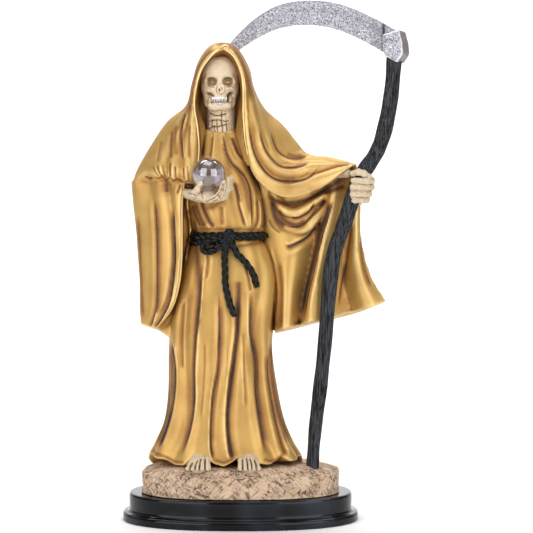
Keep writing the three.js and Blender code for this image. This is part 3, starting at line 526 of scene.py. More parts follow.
SLEEVE = [
    ("outer line", True, 0, [
        [-25.6, -1, 67.6], [-25.2, -1, 62.3], [-24.5, -1, 56], [-24.1, -1, 50], [-23.7, -1, 44],
        [-23.7, -0.8, 38], [-23.5, -0.6, 33.9]]),
    ("outer fold", False, 0.14, [
        [-20.8, -3.6, 68], [-19.9, -5.6, 62.6], [-19.5, -5.7, 56], [-19.4, -5.7, 50],
        [-19.5, -5.4, 44], [-19.7, -4.8, 38], [-21.3, -3.6, 33.4]]),
    ("inner fold", False, 0.16, [
        [-16.6, -5.4, 68.4], [-15.7, -7.2, 62.8], [-15.1, -7.2, 56], [-14.9, -7, 50],
        [-15.6, -6.8, 44], [-17, -6.2, 38.2], [-20.3, -4.6, 33.4]]),
    ("lip", False, 0, [
        [-12.6, -7.4, 68.6], [-13.2, -8.9, 63], [-13.3, -8.6, 56], [-13.4, -8.4, 50],
        [-14, -8, 43.8], [-15.7, -7.4, 38.2], [-19.4, -5.6, 33.3]]),
    ("hollow", True, 0, [
        [-13, -4.4, 68], [-13, -3.4, 62], [-12.8, -3, 56], [-13.4, -3, 50], [-13.9, -3, 44],
        [-15, -3, 38], [-18.4, -3.2, 32.6]]),
    ("far lip", False, 0, [
        [-11.6, -4.8, 66.4], [-12.3, -4.9, 62], [-11.5, -5, 56], [-12.6, -5, 50], [-13.1, -4.8, 44],
        [-13.5, -4.4, 38], [-16.4, -2.8, 30.6]]),
    ("inner back", True, 0, [
        [-10, 1, 66], [-11, 1.6, 62], [-11, 2, 56], [-11.6, 2.2, 50], [-12, 2.4, 44],
        [-12.4, 2.8, 38], [-15, 3.2, 30.8]]),
    ("back", True, 0, [
        [-19, 4.6, 66], [-19.4, 5, 62], [-19, 5.4, 56], [-18.6, 5.6, 50], [-18.4, 5.8, 44],
        [-18.6, 6, 38], [-19, 6, 31.8]]),
]
PANEL = [
    ("right edge", False, 0, [
        [27.2, -4.6, 70.8], [28.2, -3.8, 64], [28.2, -3, 56], [29.7, -2.2, 48.4], [31.8, -1.8, 43.4],
        [34.4, -1.7, 39.3]]),
    ("first ridge", True, 0, [
        [26.6, -5.4, 70.4], [27, -4.6, 64], [26.8, -4.4, 56], [27.4, -4, 48], [28.6, -3.8, 42.6],
        [30.4, -3.6, 38]]),
    ("first valley", False, 0, [
        [25.8, -5, 70], [25.8, -3, 63.6], [24.9, -1.8, 55.6], [24.3, -1, 48], [24.8, -0.6, 42],
        [26.2, -0.6, 37]]),
    ("second ridge", True, 0, [
        [23.6, -5.4, 69.6], [23.6, -4.6, 63.6], [22.2, -4.2, 55.6], [21.2, -3.8, 48],
        [20.8, -3.8, 41.6], [21.2, -3.8, 35.3]]),
    ("broad ridge", True, 0, [
        [21.4, -5.8, 69.6], [21.4, -6, 63.6], [20, -6, 55.6], [18.4, -5.6, 48],
        [17, -5.4, 41.4], [16.2, -5.4, 34.6]]),
    ("second valley", False, 0, [
        [19.8, -4.6, 69.6], [19.6, -3, 63.4], [17.8, -1.8, 55.4], [16.2, -1.2, 47.6],
        [14.8, -1, 41], [13.8, -1.2, 34.2]]),
    ("third ridge", True, 0, [
        [12, -5, 69], [12.4, -4.6, 63], [12, -4.2, 55], [11.4, -4.2, 47.4], [11, -4.4, 40.6],
        [10.8, -4.4, 33.2]]),
    ("side of the gown", False, 0, [
        [4, -3, 68.6], [5, -2.6, 63], [5.2, -2, 55], [7, -2, 47], [7.8, -2, 40], [8, -2, 32]]),
    ("inner back", True, 0, [
        [6, 4, 70], [7, 5, 63], [8, 6, 55], [9, 6.4, 47], [9.6, 6.6, 40], [9.8, 6.8, 31.4]]),
    ("back", True, 0, [
        [15, 2.6, 71.6], [17.6, 3.2, 63.6], [18, 4, 55.6], [18.4, 4.2, 48], [18.8, 4.4, 41],
        [19.2, 4.6, 34]]),
    ("outer back", True, 0, [
        [24, -1.4, 71.6], [24.8, -0.2, 64], [25, 0.8, 56], [25.8, 1.2, 48], [27, 1.4, 42],
        [28.4, 1.4, 36.6]]),
]
# Rolls of cloth under the arm, as (line, radius)
SWAGS = [
    ([[8, -3, 64.6], [9.8, -4.6, 61.3], [12.4, -5.2, 60.2], [15.2, -4.8, 61.4], [19.4, -4, 64.4]], 1.4),
    ([[8, -2, 60.4], [10.6, -3.6, 57], [14.4, -4, 56.2], [17.8, -4, 58.8], [21.4, -4, 63]], 1.3),
]

# The cloth between the hood's rim and the head
HOOD_LINING = [
    ("by the rim", False, 0, [
        [-9.8, -5.8, 71], [-9.3, -5.6, 75.3], [-9.7, -5.2, 80.1], [-10.6, -4.6, 84.7], [-10.4, -4, 89.5],
        [-8.5, -3.8, 93.3], [-6.2, -3.6, 96], [-3.9, -3.4, 97.2], [-1.6, -3.6, 95.9], [0.2, -4, 92.2],
        [0.7, -4.2, 88], [0.6, -5, 83.2], [1, -5.4, 77.4], [2.6, -5.8, 71]]),
    ("by the head", False, 0, [
        [-8, -4.4, 71], [-7.9, -4, 75.3], [-8.1, -3.4, 80.1], [-9.8, -1.8, 84.7], [-10, -0.6, 89.5],
        [-8.7, -0.2, 93], [-6.3, -0.2, 95.4], [-4.2, -0.2, 96.2], [-2.1, -0.2, 95.4], [-0.5, -0.4, 92],
        [-0.1, -0.8, 88], [-0.6, -2.4, 83.2], [-1.1, -3.8, 77.4], [-0.8, -4.4, 71]]),
    ("deep by the head", False, 0, [
        [-8.2, 3, 71], [-8.2, 3, 75.3], [-8.6, 3, 80.1], [-9.4, 3, 84.7], [-9.5, 3, 89.5],
        [-8.2, 3, 93], [-6.3, 3, 95.4], [-4.2, 3, 96.2], [-2.1, 3, 95.4], [-0.5, 3, 92],
        [-0.1, 3, 88], [-0.5, 3, 83.2], [-0.8, 3, 77.4], [-0.4, 3, 71]]),
    ("deep by the rim", False, 0, [
        [-9.8, 3.2, 71], [-9.3, 3.2, 75.3], [-9.7, 3.2, 80.1], [-10.2, 3.2, 84.7], [-9.9, 3.2, 89.5],
        [-8.5, 3.2, 93.3], [-6.2, 3.2, 96], [-3.9, 3, 97.1], [-1.6, 3.2, 95.9], [0.2, 3.2, 92.2],
        [0.7, 3.2, 88], [0.6, 3.2, 83.2], [1, 3.2, 77.4], [2.6, 3.2, 71]]),
]
# Edges with a painted highlight line: the hood's rim from the sleeve to the top, where it laps over, the
# rim from there down to the elbow, and the sleeve's lip
EDGES = [
    [[-9.6, -9.2, 69.4], [-9.4, -8.9, 75.3], [-9.8, -8.1, 80.1], [-10.5, -7.7, 84.7], [-10, -7.4, 89.6],
     [-8.7, -7.1, 93.5], [-6.4, -6.5, 96.6], [-4.4, -6.2, 98.3], [-3.3, -6, 98.8], [-2.7, -5.9, 98.4],
     [-3, -5.8, 97.7]],
    [[-3.2, -6.2, 97.7], [-1.5, -6.5, 96.3], [0.3, -7.3, 92.4], [0.8, -7.6, 88], [0.8, -7.7, 83.2],
     [1.2, -8.3, 77.4], [1.8, -8.8, 73.6]],
    [[-12.6, -7.5, 68.6], [-13.2, -9, 63], [-13.3, -8.7, 56], [-13.4, -8.5, 50], [-14, -8.1, 43.8],
     [-15.7, -7.5, 38.2], [-19.4, -5.7, 33.4]],
]

# Creases on the front, as (depth and width in millimetres, how brown it is, line in x and z); some of
# them are painted shade, as marked
GOWN_CREASES = [
    (1.6, 1.6, 0.8, [[-16.2, 30.6], [-15.3, 23.9], [-15.7, 16.5], [-17.2, 10.3], [-19.3, 4.8]]),
    (0, 3, 0.45, [[-16.4, 28.7], [-16.1, 23.9], [-16.5, 17.2], [-18.1, 10.3], [-20.2, 5.2]]),
    (1.7, 1.7, 0.75, [[-9.2, 49], [-9.5, 40.9], [-10.3, 32.2], [-10.8, 23.9], [-10.8, 16.5],
        [-11.8, 10.3], [-13.9, 3.9]]),
    (1.3, 1.1, 0.85, [[-4.8, 43], [-4.8, 33.3], [-5.1, 24.8], [-6.1, 18.6], [-6.6, 11.5], [-6.6, 6.2],
        [-5.9, 2.7]]),
    (0, 2.4, 0.4, [[-4.1, 42.1], [-4.2, 33.3], [-4.6, 25], [-5.6, 18.6], [-6.2, 11.5], [-6.2, 5.7]]),
    (1.9, 1.7, 0.95, [[-0.8, 43.9], [-0.6, 34.2], [-1.4, 26.9], [-2.3, 19.7], [-2.8, 12.4], [-2.3, 6.2],
        [-1.4, 2.7]]),
    (0, 2.6, 0.6, [[-0.2, 44.8], [-0.2, 40.2], [-0.5, 33.3]]),
    (1.6, 2, 0.7, [[2.9, 42.5], [2.7, 33.1], [3.7, 25.9], [4, 18.6], [5, 11.5], [6.3, 4.3]]),
    (1.3, 1.5, 0.65, [[6.5, 28.2], [6.7, 21.8], [8.1, 13.5], [9.9, 6.4], [11.1, 3.9]]),
    (0, 2.4, 0.5, [[7, 29.9], [7.3, 21.8], [8.8, 13.5], [11.1, 5.7]]),
    (0.7, 1.2, 0.4, [[-13.1, 40.2], [-13.5, 31], [-13.4, 23.6]]),
    (0.5, 1, 0.35, [[0.7, 33.3], [1, 24.1], [1.3, 14.9]]),
    (0.5, 1, 0.35, [[-8, 31], [-8.2, 21.8], [-8.9, 12.6]]),
    (0.7, 1, 0.5, [[-7.8, 52.4], [-7.5, 49], [-7.9, 44.8]]),
    (0.6, 1, 0.5, [[1.4, 49], [2.1, 44.8], [2.6, 42.1]]),
    (0.9, 0.8, 0.85, [[-4, 78.4], [-3.7, 76.8], [-3.1, 74.2], [-2, 71.9], [-0.2, 70.1], [1.2, 68.4],
        [2.2, 66.1], [2.6, 63.2], [2.8, 59.8], [2.9, 56.8]]),
    (0, 1.8, 0.45, [[-3.9, 77.5], [-3.4, 74.3], [-2.4, 71.7], [-0.6, 69.8], [0.7, 67.8], [1.7, 65.5],
        [2.1, 62.5], [2.3, 58.6]]),
    (0.9, 1.5, 0.7, [[-1.9, 78], [-1.1, 75.9], [-0.2, 73.9], [1.5, 71.9]]),
    (0.9, 1.1, 0.75, [[-1.4, 67.4], [-1.1, 66.2], [-0.5, 64.1], [-0.2, 61.8], [0.6, 59.1], [1.3, 56.6]]),
    (0, 2.2, 0.55, [[-1.2, 67], [-0.8, 65.1], [-0.2, 62.3]]),
    (0.7, 1.8, 0.35, [[-4.3, 61.8], [-4.3, 59.8], [-4.1, 57.2]]),
    (1.1, 1.7, 0.75, [[-9.4, 63.4], [-8.6, 60.9], [-7.4, 58.5], [-5.9, 56.6]]),
    (0.8, 1.5, 0.7, [[-11.2, 62], [-10.4, 59.2], [-9.2, 56.9]]),
    (0, 3.4, 0.5, [[-10.4, 62.4], [-9.4, 59.5], [-8.2, 56.8]]),
    (0.8, 1.1, 0.6, [[4.1, 63.7], [4.3, 60.5], [4.2, 58.2], [3.5, 56.3]]),
    (0.1, 3, 0.75, [[5.2, 64.1], [5.7, 61.4], [5.8, 58.2], [5.3, 56.3]]),
    (0.1, 2.2, 0.7, [[0.9, 78.4], [1.3, 74.7], [1.9, 71.7], [3.6, 67.6], [5.8, 64.7], [7.4, 63.5]]),
    (0, 1.8, 0.7, [[-8.8, 78.6], [-8.7, 75.9], [-8.8, 73.1]]),
    (0.6, 1, 0.45, [[-6.4, 78], [-6.6, 75.7], [-6.9, 73.1]]),
    # Painted shadow under the open hand
    (0, 3, 0.35, [[-11, 61.8], [-8.2, 61.2], [-5.5, 61.8], [-3.2, 63.9]]),
    # Painted shade on the gown beside the sleeve's mouth
    (0, 3.2, 0.6, [[-10.8, 59.8], [-10.3, 55.9], [-9.8, 49], [-9.4, 42.5], [-9.6, 36.1],
        [-10.5, 29.9]]),
    (0.3, 2.2, 0.6, [[4.9, 54.5], [5.6, 53.6], [7, 51.3], [7.9, 48], [8.6, 44.6], [8.7, 40.2],
        [8.3, 31.9]]),
    # Painted shade below and above the belt
    (0, 1.6, 0.5, [[-10.1, 53.3], [-6.9, 52], [-2.7, 52.2], [5.1, 53.3], [7, 53.8]]),
    (0, 1.2, 0.45, [[-10.5, 56.4], [-6.4, 56.4], [0, 56.4], [5.6, 56.2]]),
    # Painted shade along the hem's lower edge
    (0, 1.4, 0.45, [[-21.1, 4.3], [-17.9, 3.9], [-14.9, 2.7], [-12.8, 2.9]]),
    (0, 1.4, 0.45, [[-6.2, 3.4], [-3.6, 2.7], [-1.6, 3.6]]),
    (0, 1.4, 0.45, [[5.1, 3.6], [7.6, 2.9], [9.5, 3.9], [11.1, 5.2]]),
]
MANTLE_CREASES = [
    (0, 2.8, 0.42, [[-5.4, 98.2], [-8.4, 96], [-10.4, 91.4], [-11.4, 87], [-11.8, 82.6]]),
    (0, 2.8, 0.42, [[-5.6, 98.6], [-3.9, 99.4], [-1.6, 98.2], [0.7, 94.4], [1.9, 90], [2.6, 85.6]]),
    (0.7, 0.8, 0.85, [[2.4, 82], [2.6, 77.8], [3.5, 74], [4.9, 71.2], [6.6, 69.1], [8.7, 67.9],
        [11.5, 67.5], [14.6, 67.9], [16.7, 69.1], [18.4, 71.1]]),
    (0, 1.8, 0.4, [[2.9, 82], [3.1, 77.8], [3.9, 74.2], [5.3, 71.6], [7.1, 69.6], [8.9, 68.5],
        [11.5, 68.1], [14.6, 68.6]]),
    (0.7, 0.9, 0.75, [[4.5, 79.9], [5.6, 75.8], [7, 73.3], [9, 71.2], [11.1, 70.7], [13.9, 71],
        [16, 71.9]]),
    (0.7, 0.9, 0.7, [[7, 79.2], [8.3, 75.4], [9.7, 73.7], [11.8, 72.8], [13.9, 72.8], [15.8, 73.5]]),
    (0, 2.6, 0.4, [[10.7, 73.9], [12.5, 73.2], [14.6, 73.2]]),
    (0.4, 0.9, 0.5, [[16.9, 68.8], [19.5, 70], [22.7, 70.9], [25.5, 71.3]]),
    (0.2, 2.4, 0.75, [[6, 64.6], [8.3, 63], [11.6, 62.5], [15.3, 63.2], [18.5, 64.9], [21.8, 66.9],
        [24.6, 68.8]]),
    (0.3, 2.4, 0.7, [[15.8, 63.7], [19, 64.6], [22.2, 65.6], [24.6, 66.3]]),
    (0.9, 0.9, 0.9, [[-12.5, 83.6], [-13.2, 81.3], [-13.5, 79], [-13.4, 75.8], [-13, 72]]),
    (0.5, 1.4, 0.5, [[-15.8, 79.5], [-16, 76], [-16, 72.5]]),
    (0.5, 0.9, 0.5, [[-11.5, 80.6], [-11.5, 77.1], [-11.4, 72.5]]),
    (0.4, 1.1, 0.3, [[-18.5, 77.1], [-18.9, 74.4], [-19.2, 71.8]]),
    (0, 1.8, 0.35, [[-14.8, 80.6], [-14.7, 77.1], [-14.5, 73]]),
    (0.6, 0.6, 0.75, [[-19.1, 71.1], [-18.7, 69.7], [-17.8, 68.3]]),
    (0.6, 0.5, 0.75, [[-17.7, 71.3], [-17.5, 69.7], [-17, 68.3]]),
    (0.6, 0.6, 0.75, [[-16, 71.8], [-16.1, 70], [-16, 68.2]]),
    (0.6, 0.6, 0.75, [[-14.7, 70.9], [-14.6, 69.3], [-14.5, 68.1]]),
    (0.5, 0.5, 0.6, [[-13, 70.7], [-12.9, 69], [-12.7, 67.8]]),
    (0.5, 0.5, 0.6, [[-11.8, 71.1], [-11.7, 69.3], [-11.6, 67.6]]),
    (0.4, 0.5, 0.5, [[-20.2, 70.9], [-19.5, 69.5], [-18.5, 68.5]]),
    (0.9, 0.6, 0.9, [[-22.1, 68.7], [-21.4, 68.4], [-21, 68.1], [-20.5, 68.3]]),
    (0.4, 0.6, 0.6, [[-19.9, 68.4], [-18.9, 68], [-17.9, 68.3], [-17, 67.7], [-16.1, 68.1],
        [-15.2, 67.4], [-14.2, 67.8], [-12.9, 67], [-11.9, 67.4], [-10.8, 67]]),
    (0, 2.2, 0.6, [[-17, 67.8], [-16.9, 66.5], [-16.7, 64.9]]),
    (0.5, 0.7, 0.7, [[-13.6, 66.9], [-14, 66], [-14.5, 64.7]]),
    (1.2, 0.9, 0.9, [[-20, 64.2], [-19.5, 58.4], [-19.3, 51.2], [-19.3, 44], [-19.5, 39],
        [-20.2, 35.7], [-21.2, 33.3]]),
    (0, 1.7, 0.5, [[-19.7, 63.7], [-19, 58.4], [-18.8, 51.2], [-18.8, 44], [-19, 39.4],
        [-19.7, 36.1]]),
    (1.2, 1, 0.95, [[-15.4, 61.8], [-15.2, 56.5], [-15, 51.2], [-15.2, 46.9], [-15.9, 41.8],
        [-16.9, 38.3], [-18.8, 35], [-20.2, 33.3]]),
    (0, 1.8, 0.45, [[-15.9, 61.4], [-15.7, 56.5], [-15.5, 51.2], [-15.7, 47], [-16.3, 42.4],
        [-17.4, 39.1], [-19.2, 35.9]]),
    (0, 1.8, 0.4, [[-23.9, 60], [-23.4, 51.7], [-23.1, 42.4], [-22.7, 35]]),
    # Painted shade within the sleeve's mouth
    (0.6, 1.2, 0.3, [[-12.6, 62.1], [-12.2, 56.7], [-12.3, 54], [-13, 50.3], [-13.3, 47],
        [-13.6, 42.4], [-14.4, 38.2], [-16.2, 34.7], [-18.1, 32.4]]),
    # Painted shadow in the sleeve's opening above the wrist
    (0.6, 1.5, 1, [[-13.1, 66.1], [-12, 66.6], [-10.3, 66.1]]),
    (0.5, 0.6, 0.7, [[8.6, 63.7], [9.7, 62.4], [11.2, 62], [12.8, 62], [14.1, 62.7], [15.3, 63.6]]),
    (0.8, 1, 0.9, [[11.8, 59], [13, 58.9], [14.3, 59.3], [16.1, 60.5], [17.3, 62.4]]),
    # Painted shade under the arm
    (0, 3.4, 0.75, [[7.5, 63.4], [7.7, 60.8], [8.8, 58.4], [10.8, 56.8]]),
    (0.1, 3, 0.65, [[8.6, 61.2], [9.7, 59.3], [11.4, 57.8], [13.4, 57.4], [15.5, 58.6]]),
    (0.5, 0.8, 0.8, [[10.9, 57], [13, 57], [14.8, 57.7], [16.5, 59.2], [18.1, 61.6]]),
    (1.3, 1.3, 0.95, [[10.4, 52.2], [12.5, 52.7], [15, 53.9], [16.5, 55.2], [17.8, 57]]),
    (0.3, 0.8, 0.5, [[6.4, 58.8], [7.2, 57.2], [8.2, 56.1], [9.5, 55.4]]),
    (0.2, 2, 0.35, [[9, 48.9], [9.5, 44.5], [9.6, 40.1], [9.4, 32.6]]),
    (-0.5, 0.6, 0, [[6.6, 52.8], [7.8, 48.7], [8.5, 44.5], [8.8, 41.5], [8.6, 38], [8.3, 32.5]]),
    (0.3, 2.6, 0.8, [[21.2, 63.2], [20.2, 60.2], [18.8, 55.9], [17.7, 51.7], [16.6, 46.9], [15.3, 41.5],
        [14.3, 35]]),
    (0.7, 0.8, 0.9, [[21.7, 63.2], [20.7, 60.2], [19.3, 55.9], [18.2, 51.7], [17.2, 46.9], [15.9, 41.5],
        [14.8, 35]]),
    (-0.5, 0.6, 0, [[22.2, 63.5], [21.1, 60.2], [19.7, 55.9], [18.6, 51.7], [17.5, 46.9], [16.2, 41.5],
        [15.2, 34.3]]),
    (0.8, 1.2, 0.6, [[26, 58.1], [25.5, 54.9], [25.1, 51.7], [24.6, 47.5], [23.9, 43.3],
        [23.2, 38.2]]),
    (0.5, 1.4, 0.4, [[28.3, 54], [28.5, 50.3], [29.4, 46.6], [30.8, 42.8]]),
]


# Materials


def material(name, base, roughness, metallic=0.0, **sockets):
    """A material with one Principled shader. Returns it with its node tree and shader."""
    made = bpy.data.materials.new(name)
    made.use_nodes = True
    tree = made.node_tree
    tree.nodes.clear()
    shader = tree.nodes.new("ShaderNodeBsdfPrincipled")
    output = tree.nodes.new("ShaderNodeOutputMaterial")
    tree.links.new(shader.outputs[0], output.inputs["Surface"])
    shader.inputs["Base Color"].default_value = (*base, 1)
    shader.inputs["Roughness"].default_value = roughness
    shader.inputs["Metallic"].default_value = metallic
    for socket, value in sockets.items():
        shader.inputs[socket.replace("_", " ")].default_value = value
    return made, tree, shader


def link(tree, value, socket):
    """Joins another node's output to a socket, or sets the socket to a number or a colour."""
    if isinstance(value, bpy.types.NodeSocket):
        tree.links.new(value, socket)
    else:
        socket.default_value = value


def attribute(tree, name):
    node = tree.nodes.new("ShaderNodeAttribute")
    node.attribute_name = name
    return node.outputs["Fac"]


def speckle(tree, scale, detail, stretch=(1, 1, 1), roughness=0.55, turn=0.0):
    """Noise in the object's own space, with a scale in features per millimetre."""
    where = tree.nodes.new("ShaderNodeTexCoord")
    mapping = tree.nodes.new("ShaderNodeMapping")
    mapping.inputs["Scale"].default_value = [s / MM for s in stretch]
    tilt = tree.nodes.new("ShaderNodeMapping")
    tilt.inputs["Rotation"].default_value = (0, turn, 0)
    tree.links.new(where.outputs["Object"], tilt.inputs["Vector"])
    tree.links.new(tilt.outputs["Vector"], mapping.inputs["Vector"])
    node = tree.nodes.new("ShaderNodeTexNoise")
    tree.links.new(mapping.outputs["Vector"], node.inputs["Vector"])
    node.inputs["Scale"].default_value = scale
    node.inputs["Detail"].default_value = detail
    node.inputs["Roughness"].default_value = roughness
    return node.outputs[0]


def blend(tree, amount, a, b):
    """A colour from a to b by an amount from 0 to 1."""
    node = tree.nodes.new("ShaderNodeMix")
    node.data_type = "RGBA"
    link(tree, amount, node.inputs[0])
    link(tree, a if isinstance(a, bpy.types.NodeSocket) else (*a, 1), node.inputs[6])
    link(tree, b if isinstance(b, bpy.types.NodeSocket) else (*b, 1), node.inputs[7])
    return node.outputs[2]


def span(tree, value, low, high, to_low=0.0, to_high=1.0):
    """The value's share of the way from low to high, from to_low to to_high."""
    node = tree.nodes.new("ShaderNodeMapRange")
    for socket, number in zip(node.inputs, (value, low, high, to_low, to_high)):
        link(tree, number, socket)
    return node.outputs[0]


def maths(tree, operation, a, b, clamp=True):
    node = tree.nodes.new("ShaderNodeMath")
    node.operation = operation
    node.use_clamp = clamp
    link(tree, a, node.inputs[0])
    link(tree, b, node.inputs[1])
    return node.outputs[0]


def thin_lines(tree, noise_value, half_width):
    """Lines where a noise passes through its middle value."""
    from_middle = maths(tree, "ABSOLUTE", maths(tree, "SUBTRACT", noise_value, 0.5, False), 0)
    return span(tree, from_middle, 0, half_width, 1, 0)


def bump(tree, shader, height, distance, strength):
    node = tree.nodes.new("ShaderNodeBump")
    node.inputs["Distance"].default_value = distance * MM
    node.inputs["Strength"].default_value = strength
    link(tree, height, node.inputs["Height"])
    tree.links.new(node.outputs["Normal"], shader.inputs["Normal"])


def ramp(tree, value, stops):
    """Colours at places from 0 to 1."""
    node = tree.nodes.new("ShaderNodeValToRGB")
    while len(node.color_ramp.elements) < len(stops):
        node.color_ramp.elements.new(0.5)
    for element, (at, color) in zip(node.color_ramp.elements, stops):
        element.position, element.color = at, (*color, 1)
    tree.links.new(value, node.inputs[0])
    return node.outputs[0]


def gold_paint():
    """Gold, brown in the hollows as antique paint and painted shade, with a painted highlight on the
    edges.
    """
    made, tree, shader = material("antique_gold", (0.6, 0.38, 0.15), 0.4, 0.7)
    wash_and_shade = attribute(tree, "wash_and_shade")
    ridge = attribute(tree, "ridge")
    cloud = speckle(tree, 0.05, 3)
    grain = speckle(tree, 0.9, 5)
    uneven = maths(tree, "ADD", wash_and_shade, span(tree, cloud, 0.42, 0.72, 0, 0.16))
    darkening = maths(tree, "MULTIPLY", uneven, span(tree, grain, 0.3, 0.7, 0.85, 1.1))
    # Colours from gold to near black as the brown and painted shade grow
    stops = [
        (0, (0.56, 0.343, 0.098)), (0.3, (0.38, 0.185, 0.044)), (0.6, (0.19, 0.078, 0.02)),
        (0.85, (0.055, 0.03, 0.018)), (1, (0.02, 0.014, 0.012)),
    ]
    base = ramp(tree, darkening, stops)
    # Painted highlight on the ridges
    bright = blend(tree, ridge, base, (0.95, 0.7, 0.32))
    link(tree, bright, shader.inputs["Base Color"])
    link(tree, span(tree, darkening, 0.1, 0.9, 0.43, 0.62), shader.inputs["Roughness"])
    link(tree, span(tree, darkening, 0.2, 0.9, 0.48, 0.15), shader.inputs["Metallic"])
    bump(tree, shader, grain, 0.04, 0.4)
    return made


def bone_paint(name, light, shadow):
    """Bone, browned in the hollows by staining and painted shade, grey where the dusk mark says so, and
    lighter with a painted highlight on the ridges.
    """
    made, tree, shader = material(name, light, 0.55, 0, Specular_IOR_Level=0.35)
    wash_and_shade = attribute(tree, "wash_and_shade")
    ridge = attribute(tree, "ridge")
    cloud = speckle(tree, 0.25, 4)
    grain = speckle(tree, 1.4, 5)
    darkening = maths(tree, "MULTIPLY", wash_and_shade, span(tree, grain, 0.3, 0.7, 0.8, 1.25))
    stain_and_shade = maths(tree, "ADD", darkening, span(tree, cloud, 0.5, 0.8, 0, 0.15))
    base = blend(tree, span(tree, stain_and_shade, 0.05, 0.5), light, shadow)
    deep = blend(tree, span(tree, stain_and_shade, 0.45, 1.0), base, (0.06, 0.04, 0.022))
    grey = blend(tree, attribute(tree, "dusk"), deep, (0.17, 0.15, 0.145))
    # Painted highlight on the ridges, lighter than the bone
    highlighted = blend(tree, ridge, grey, [min(0.95, c * 1.25) for c in light])
    link(tree, highlighted, shader.inputs["Base Color"])
    bump(tree, shader, grain, 0.06, 0.5)
    return made


def rock_paint():
    """Pinkish stone with thin slanting brown lines, painted shade in its hollows and under the hem, and
    a painted highlight on its raised parts.
    """
    made, tree, shader = material("rock_paint", (0.5, 0.35, 0.24), 0.7, 0, Specular_IOR_Level=0.25)
    wash_and_shade = attribute(tree, "wash_and_shade")
    cloud = speckle(tree, 0.12, 5)
    grain = speckle(tree, 1.0, 6)
    pink = blend(tree, span(tree, cloud, 0.35, 0.7), (0.64, 0.47, 0.33), (0.46, 0.31, 0.205))
    scratches = [
        thin_lines(tree, speckle(tree, 0.3, 2, (0.28, 1, 1), 0.5, turn), 0.034) for turn in (0.7, -0.6)
    ]
    darkening = maths(tree, "MULTIPLY", maths(tree, "ADD", *scratches), span(tree, cloud, 0.38, 0.52, 0.3, 1))
    # Brown in the chisel grooves, with painted shade where the hem and other surfaces shut out the light
    grooves_and_shade = maths(tree, "MULTIPLY", wash_and_shade, 0.75)
    stain_and_shade = maths(tree, "ADD", grooves_and_shade, span(tree, grain, 0.5, 0.75, 0, 0.2))
    shade = span(tree, maths(tree, "MAXIMUM", stain_and_shade, darkening), 0.12, 0.95)
    brown = blend(tree, shade, pink, (0.05, 0.027, 0.014))
    # Painted highlight on the raised parts
    highlighted = blend(tree, attribute(tree, "ridge"), brown, (0.72, 0.56, 0.4))
    link(tree, highlighted, shader.inputs["Base Color"])
    bump(tree, shader, grain, 0.25, 0.7)
    return made


def rope_paint():
    """Black-green gloss, with a painted bluish highlight where the strands stand out."""
    made, tree, shader = material("rope_paint", (0.012, 0.018, 0.017), 0.2, 0, Specular_IOR_Level=0.22)
    grain = speckle(tree, 1.2, 4)
    green = blend(tree, span(tree, grain, 0.35, 0.7), (0.0012, 0.0022, 0.0024), (0.004, 0.008, 0.008))
    # Painted highlight where the strands stand out
    strand_highlight = span(tree, attribute(tree, "ridge"), 0.2, 1, 0, 0.8)
    highlighted = blend(tree, strand_highlight, green, (0.02, 0.032, 0.032))
    link(tree, highlighted, shader.inputs["Base Color"])
    link(tree, span(tree, grain, 0.3, 0.7, 0.14, 0.34), shader.inputs["Roughness"])
    bump(tree, shader, grain, 0.08, 0.6)
    return made


def bark_paint():
    """Charcoal with long fine fibres."""
    made, tree, shader = material("bark_paint", (0.02, 0.02, 0.022), 0.55, 0, Specular_IOR_Level=0.15)
    wash_and_shade = attribute(tree, "wash_and_shade")
    grain = speckle(tree, 1.9, 4, (1, 1, 0.018))
    # Darker in the bark's grooves, as painted shade, and along the fibres
    darkening = maths(tree, "ADD", wash_and_shade, span(tree, grain, 0.46, 0.55, 0, 0.85))
    charcoal = blend(tree, darkening, (0.05, 0.052, 0.058), (0.001, 0.001, 0.0014))
    link(tree, charcoal, shader.inputs["Base Color"])
    link(tree, span(tree, darkening, 0, 1, 0.45, 0.75), shader.inputs["Roughness"])
    bump(tree, shader, grain, 0.25, 0.8)
    return made


def silver_paint():
    """Silver with fine hatching both ways, streaks along it, and dull pink ends."""
    made, tree, shader = material("silver_paint", (0.45, 0.46, 0.5), 0.4, 0.5)
    wash_and_shade = attribute(tree, "wash_and_shade")
    ridge = attribute(tree, "ridge")
    leans = [speckle(tree, 2, 3, (0.1, 1, 1), 0.55, turn) for turn in (0.5, -0.75)]
    hatch = maths(tree, "ADD", *[span(tree, lines, 0.49, 0.62, 0, 0.75) for lines in leans])
    shine = span(tree, speckle(tree, 1.8, 3, (0.06, 1, 1), 0.55, 0.15), 0.54, 0.66)
    dull = blend(tree, hatch, (0.48, 0.48, 0.54), (0.085, 0.085, 0.11))
    grey = blend(tree, shine, dull, (0.76, 0.76, 0.82))
    # Darker in the hollows and along the spine, with painted shade by the socket
    dirt_and_shade = blend(tree, span(tree, wash_and_shade, 0.1, 0.9), grey, (0.035, 0.035, 0.045))
    ends = blend(tree, attribute(tree, "dusk"), dirt_and_shade, (0.23, 0.19, 0.175))
    # Painted highlight on the raised parts and on the socket's bevel
    highlighted = blend(tree, ridge, ends, (0.78, 0.78, 0.85))
    link(tree, highlighted, shader.inputs["Base Color"])
    link(tree, span(tree, hatch, 0, 1, 0.34, 0.55), shader.inputs["Roughness"])
    bump(tree, shader, hatch, 0.12, 0.7)
    return made


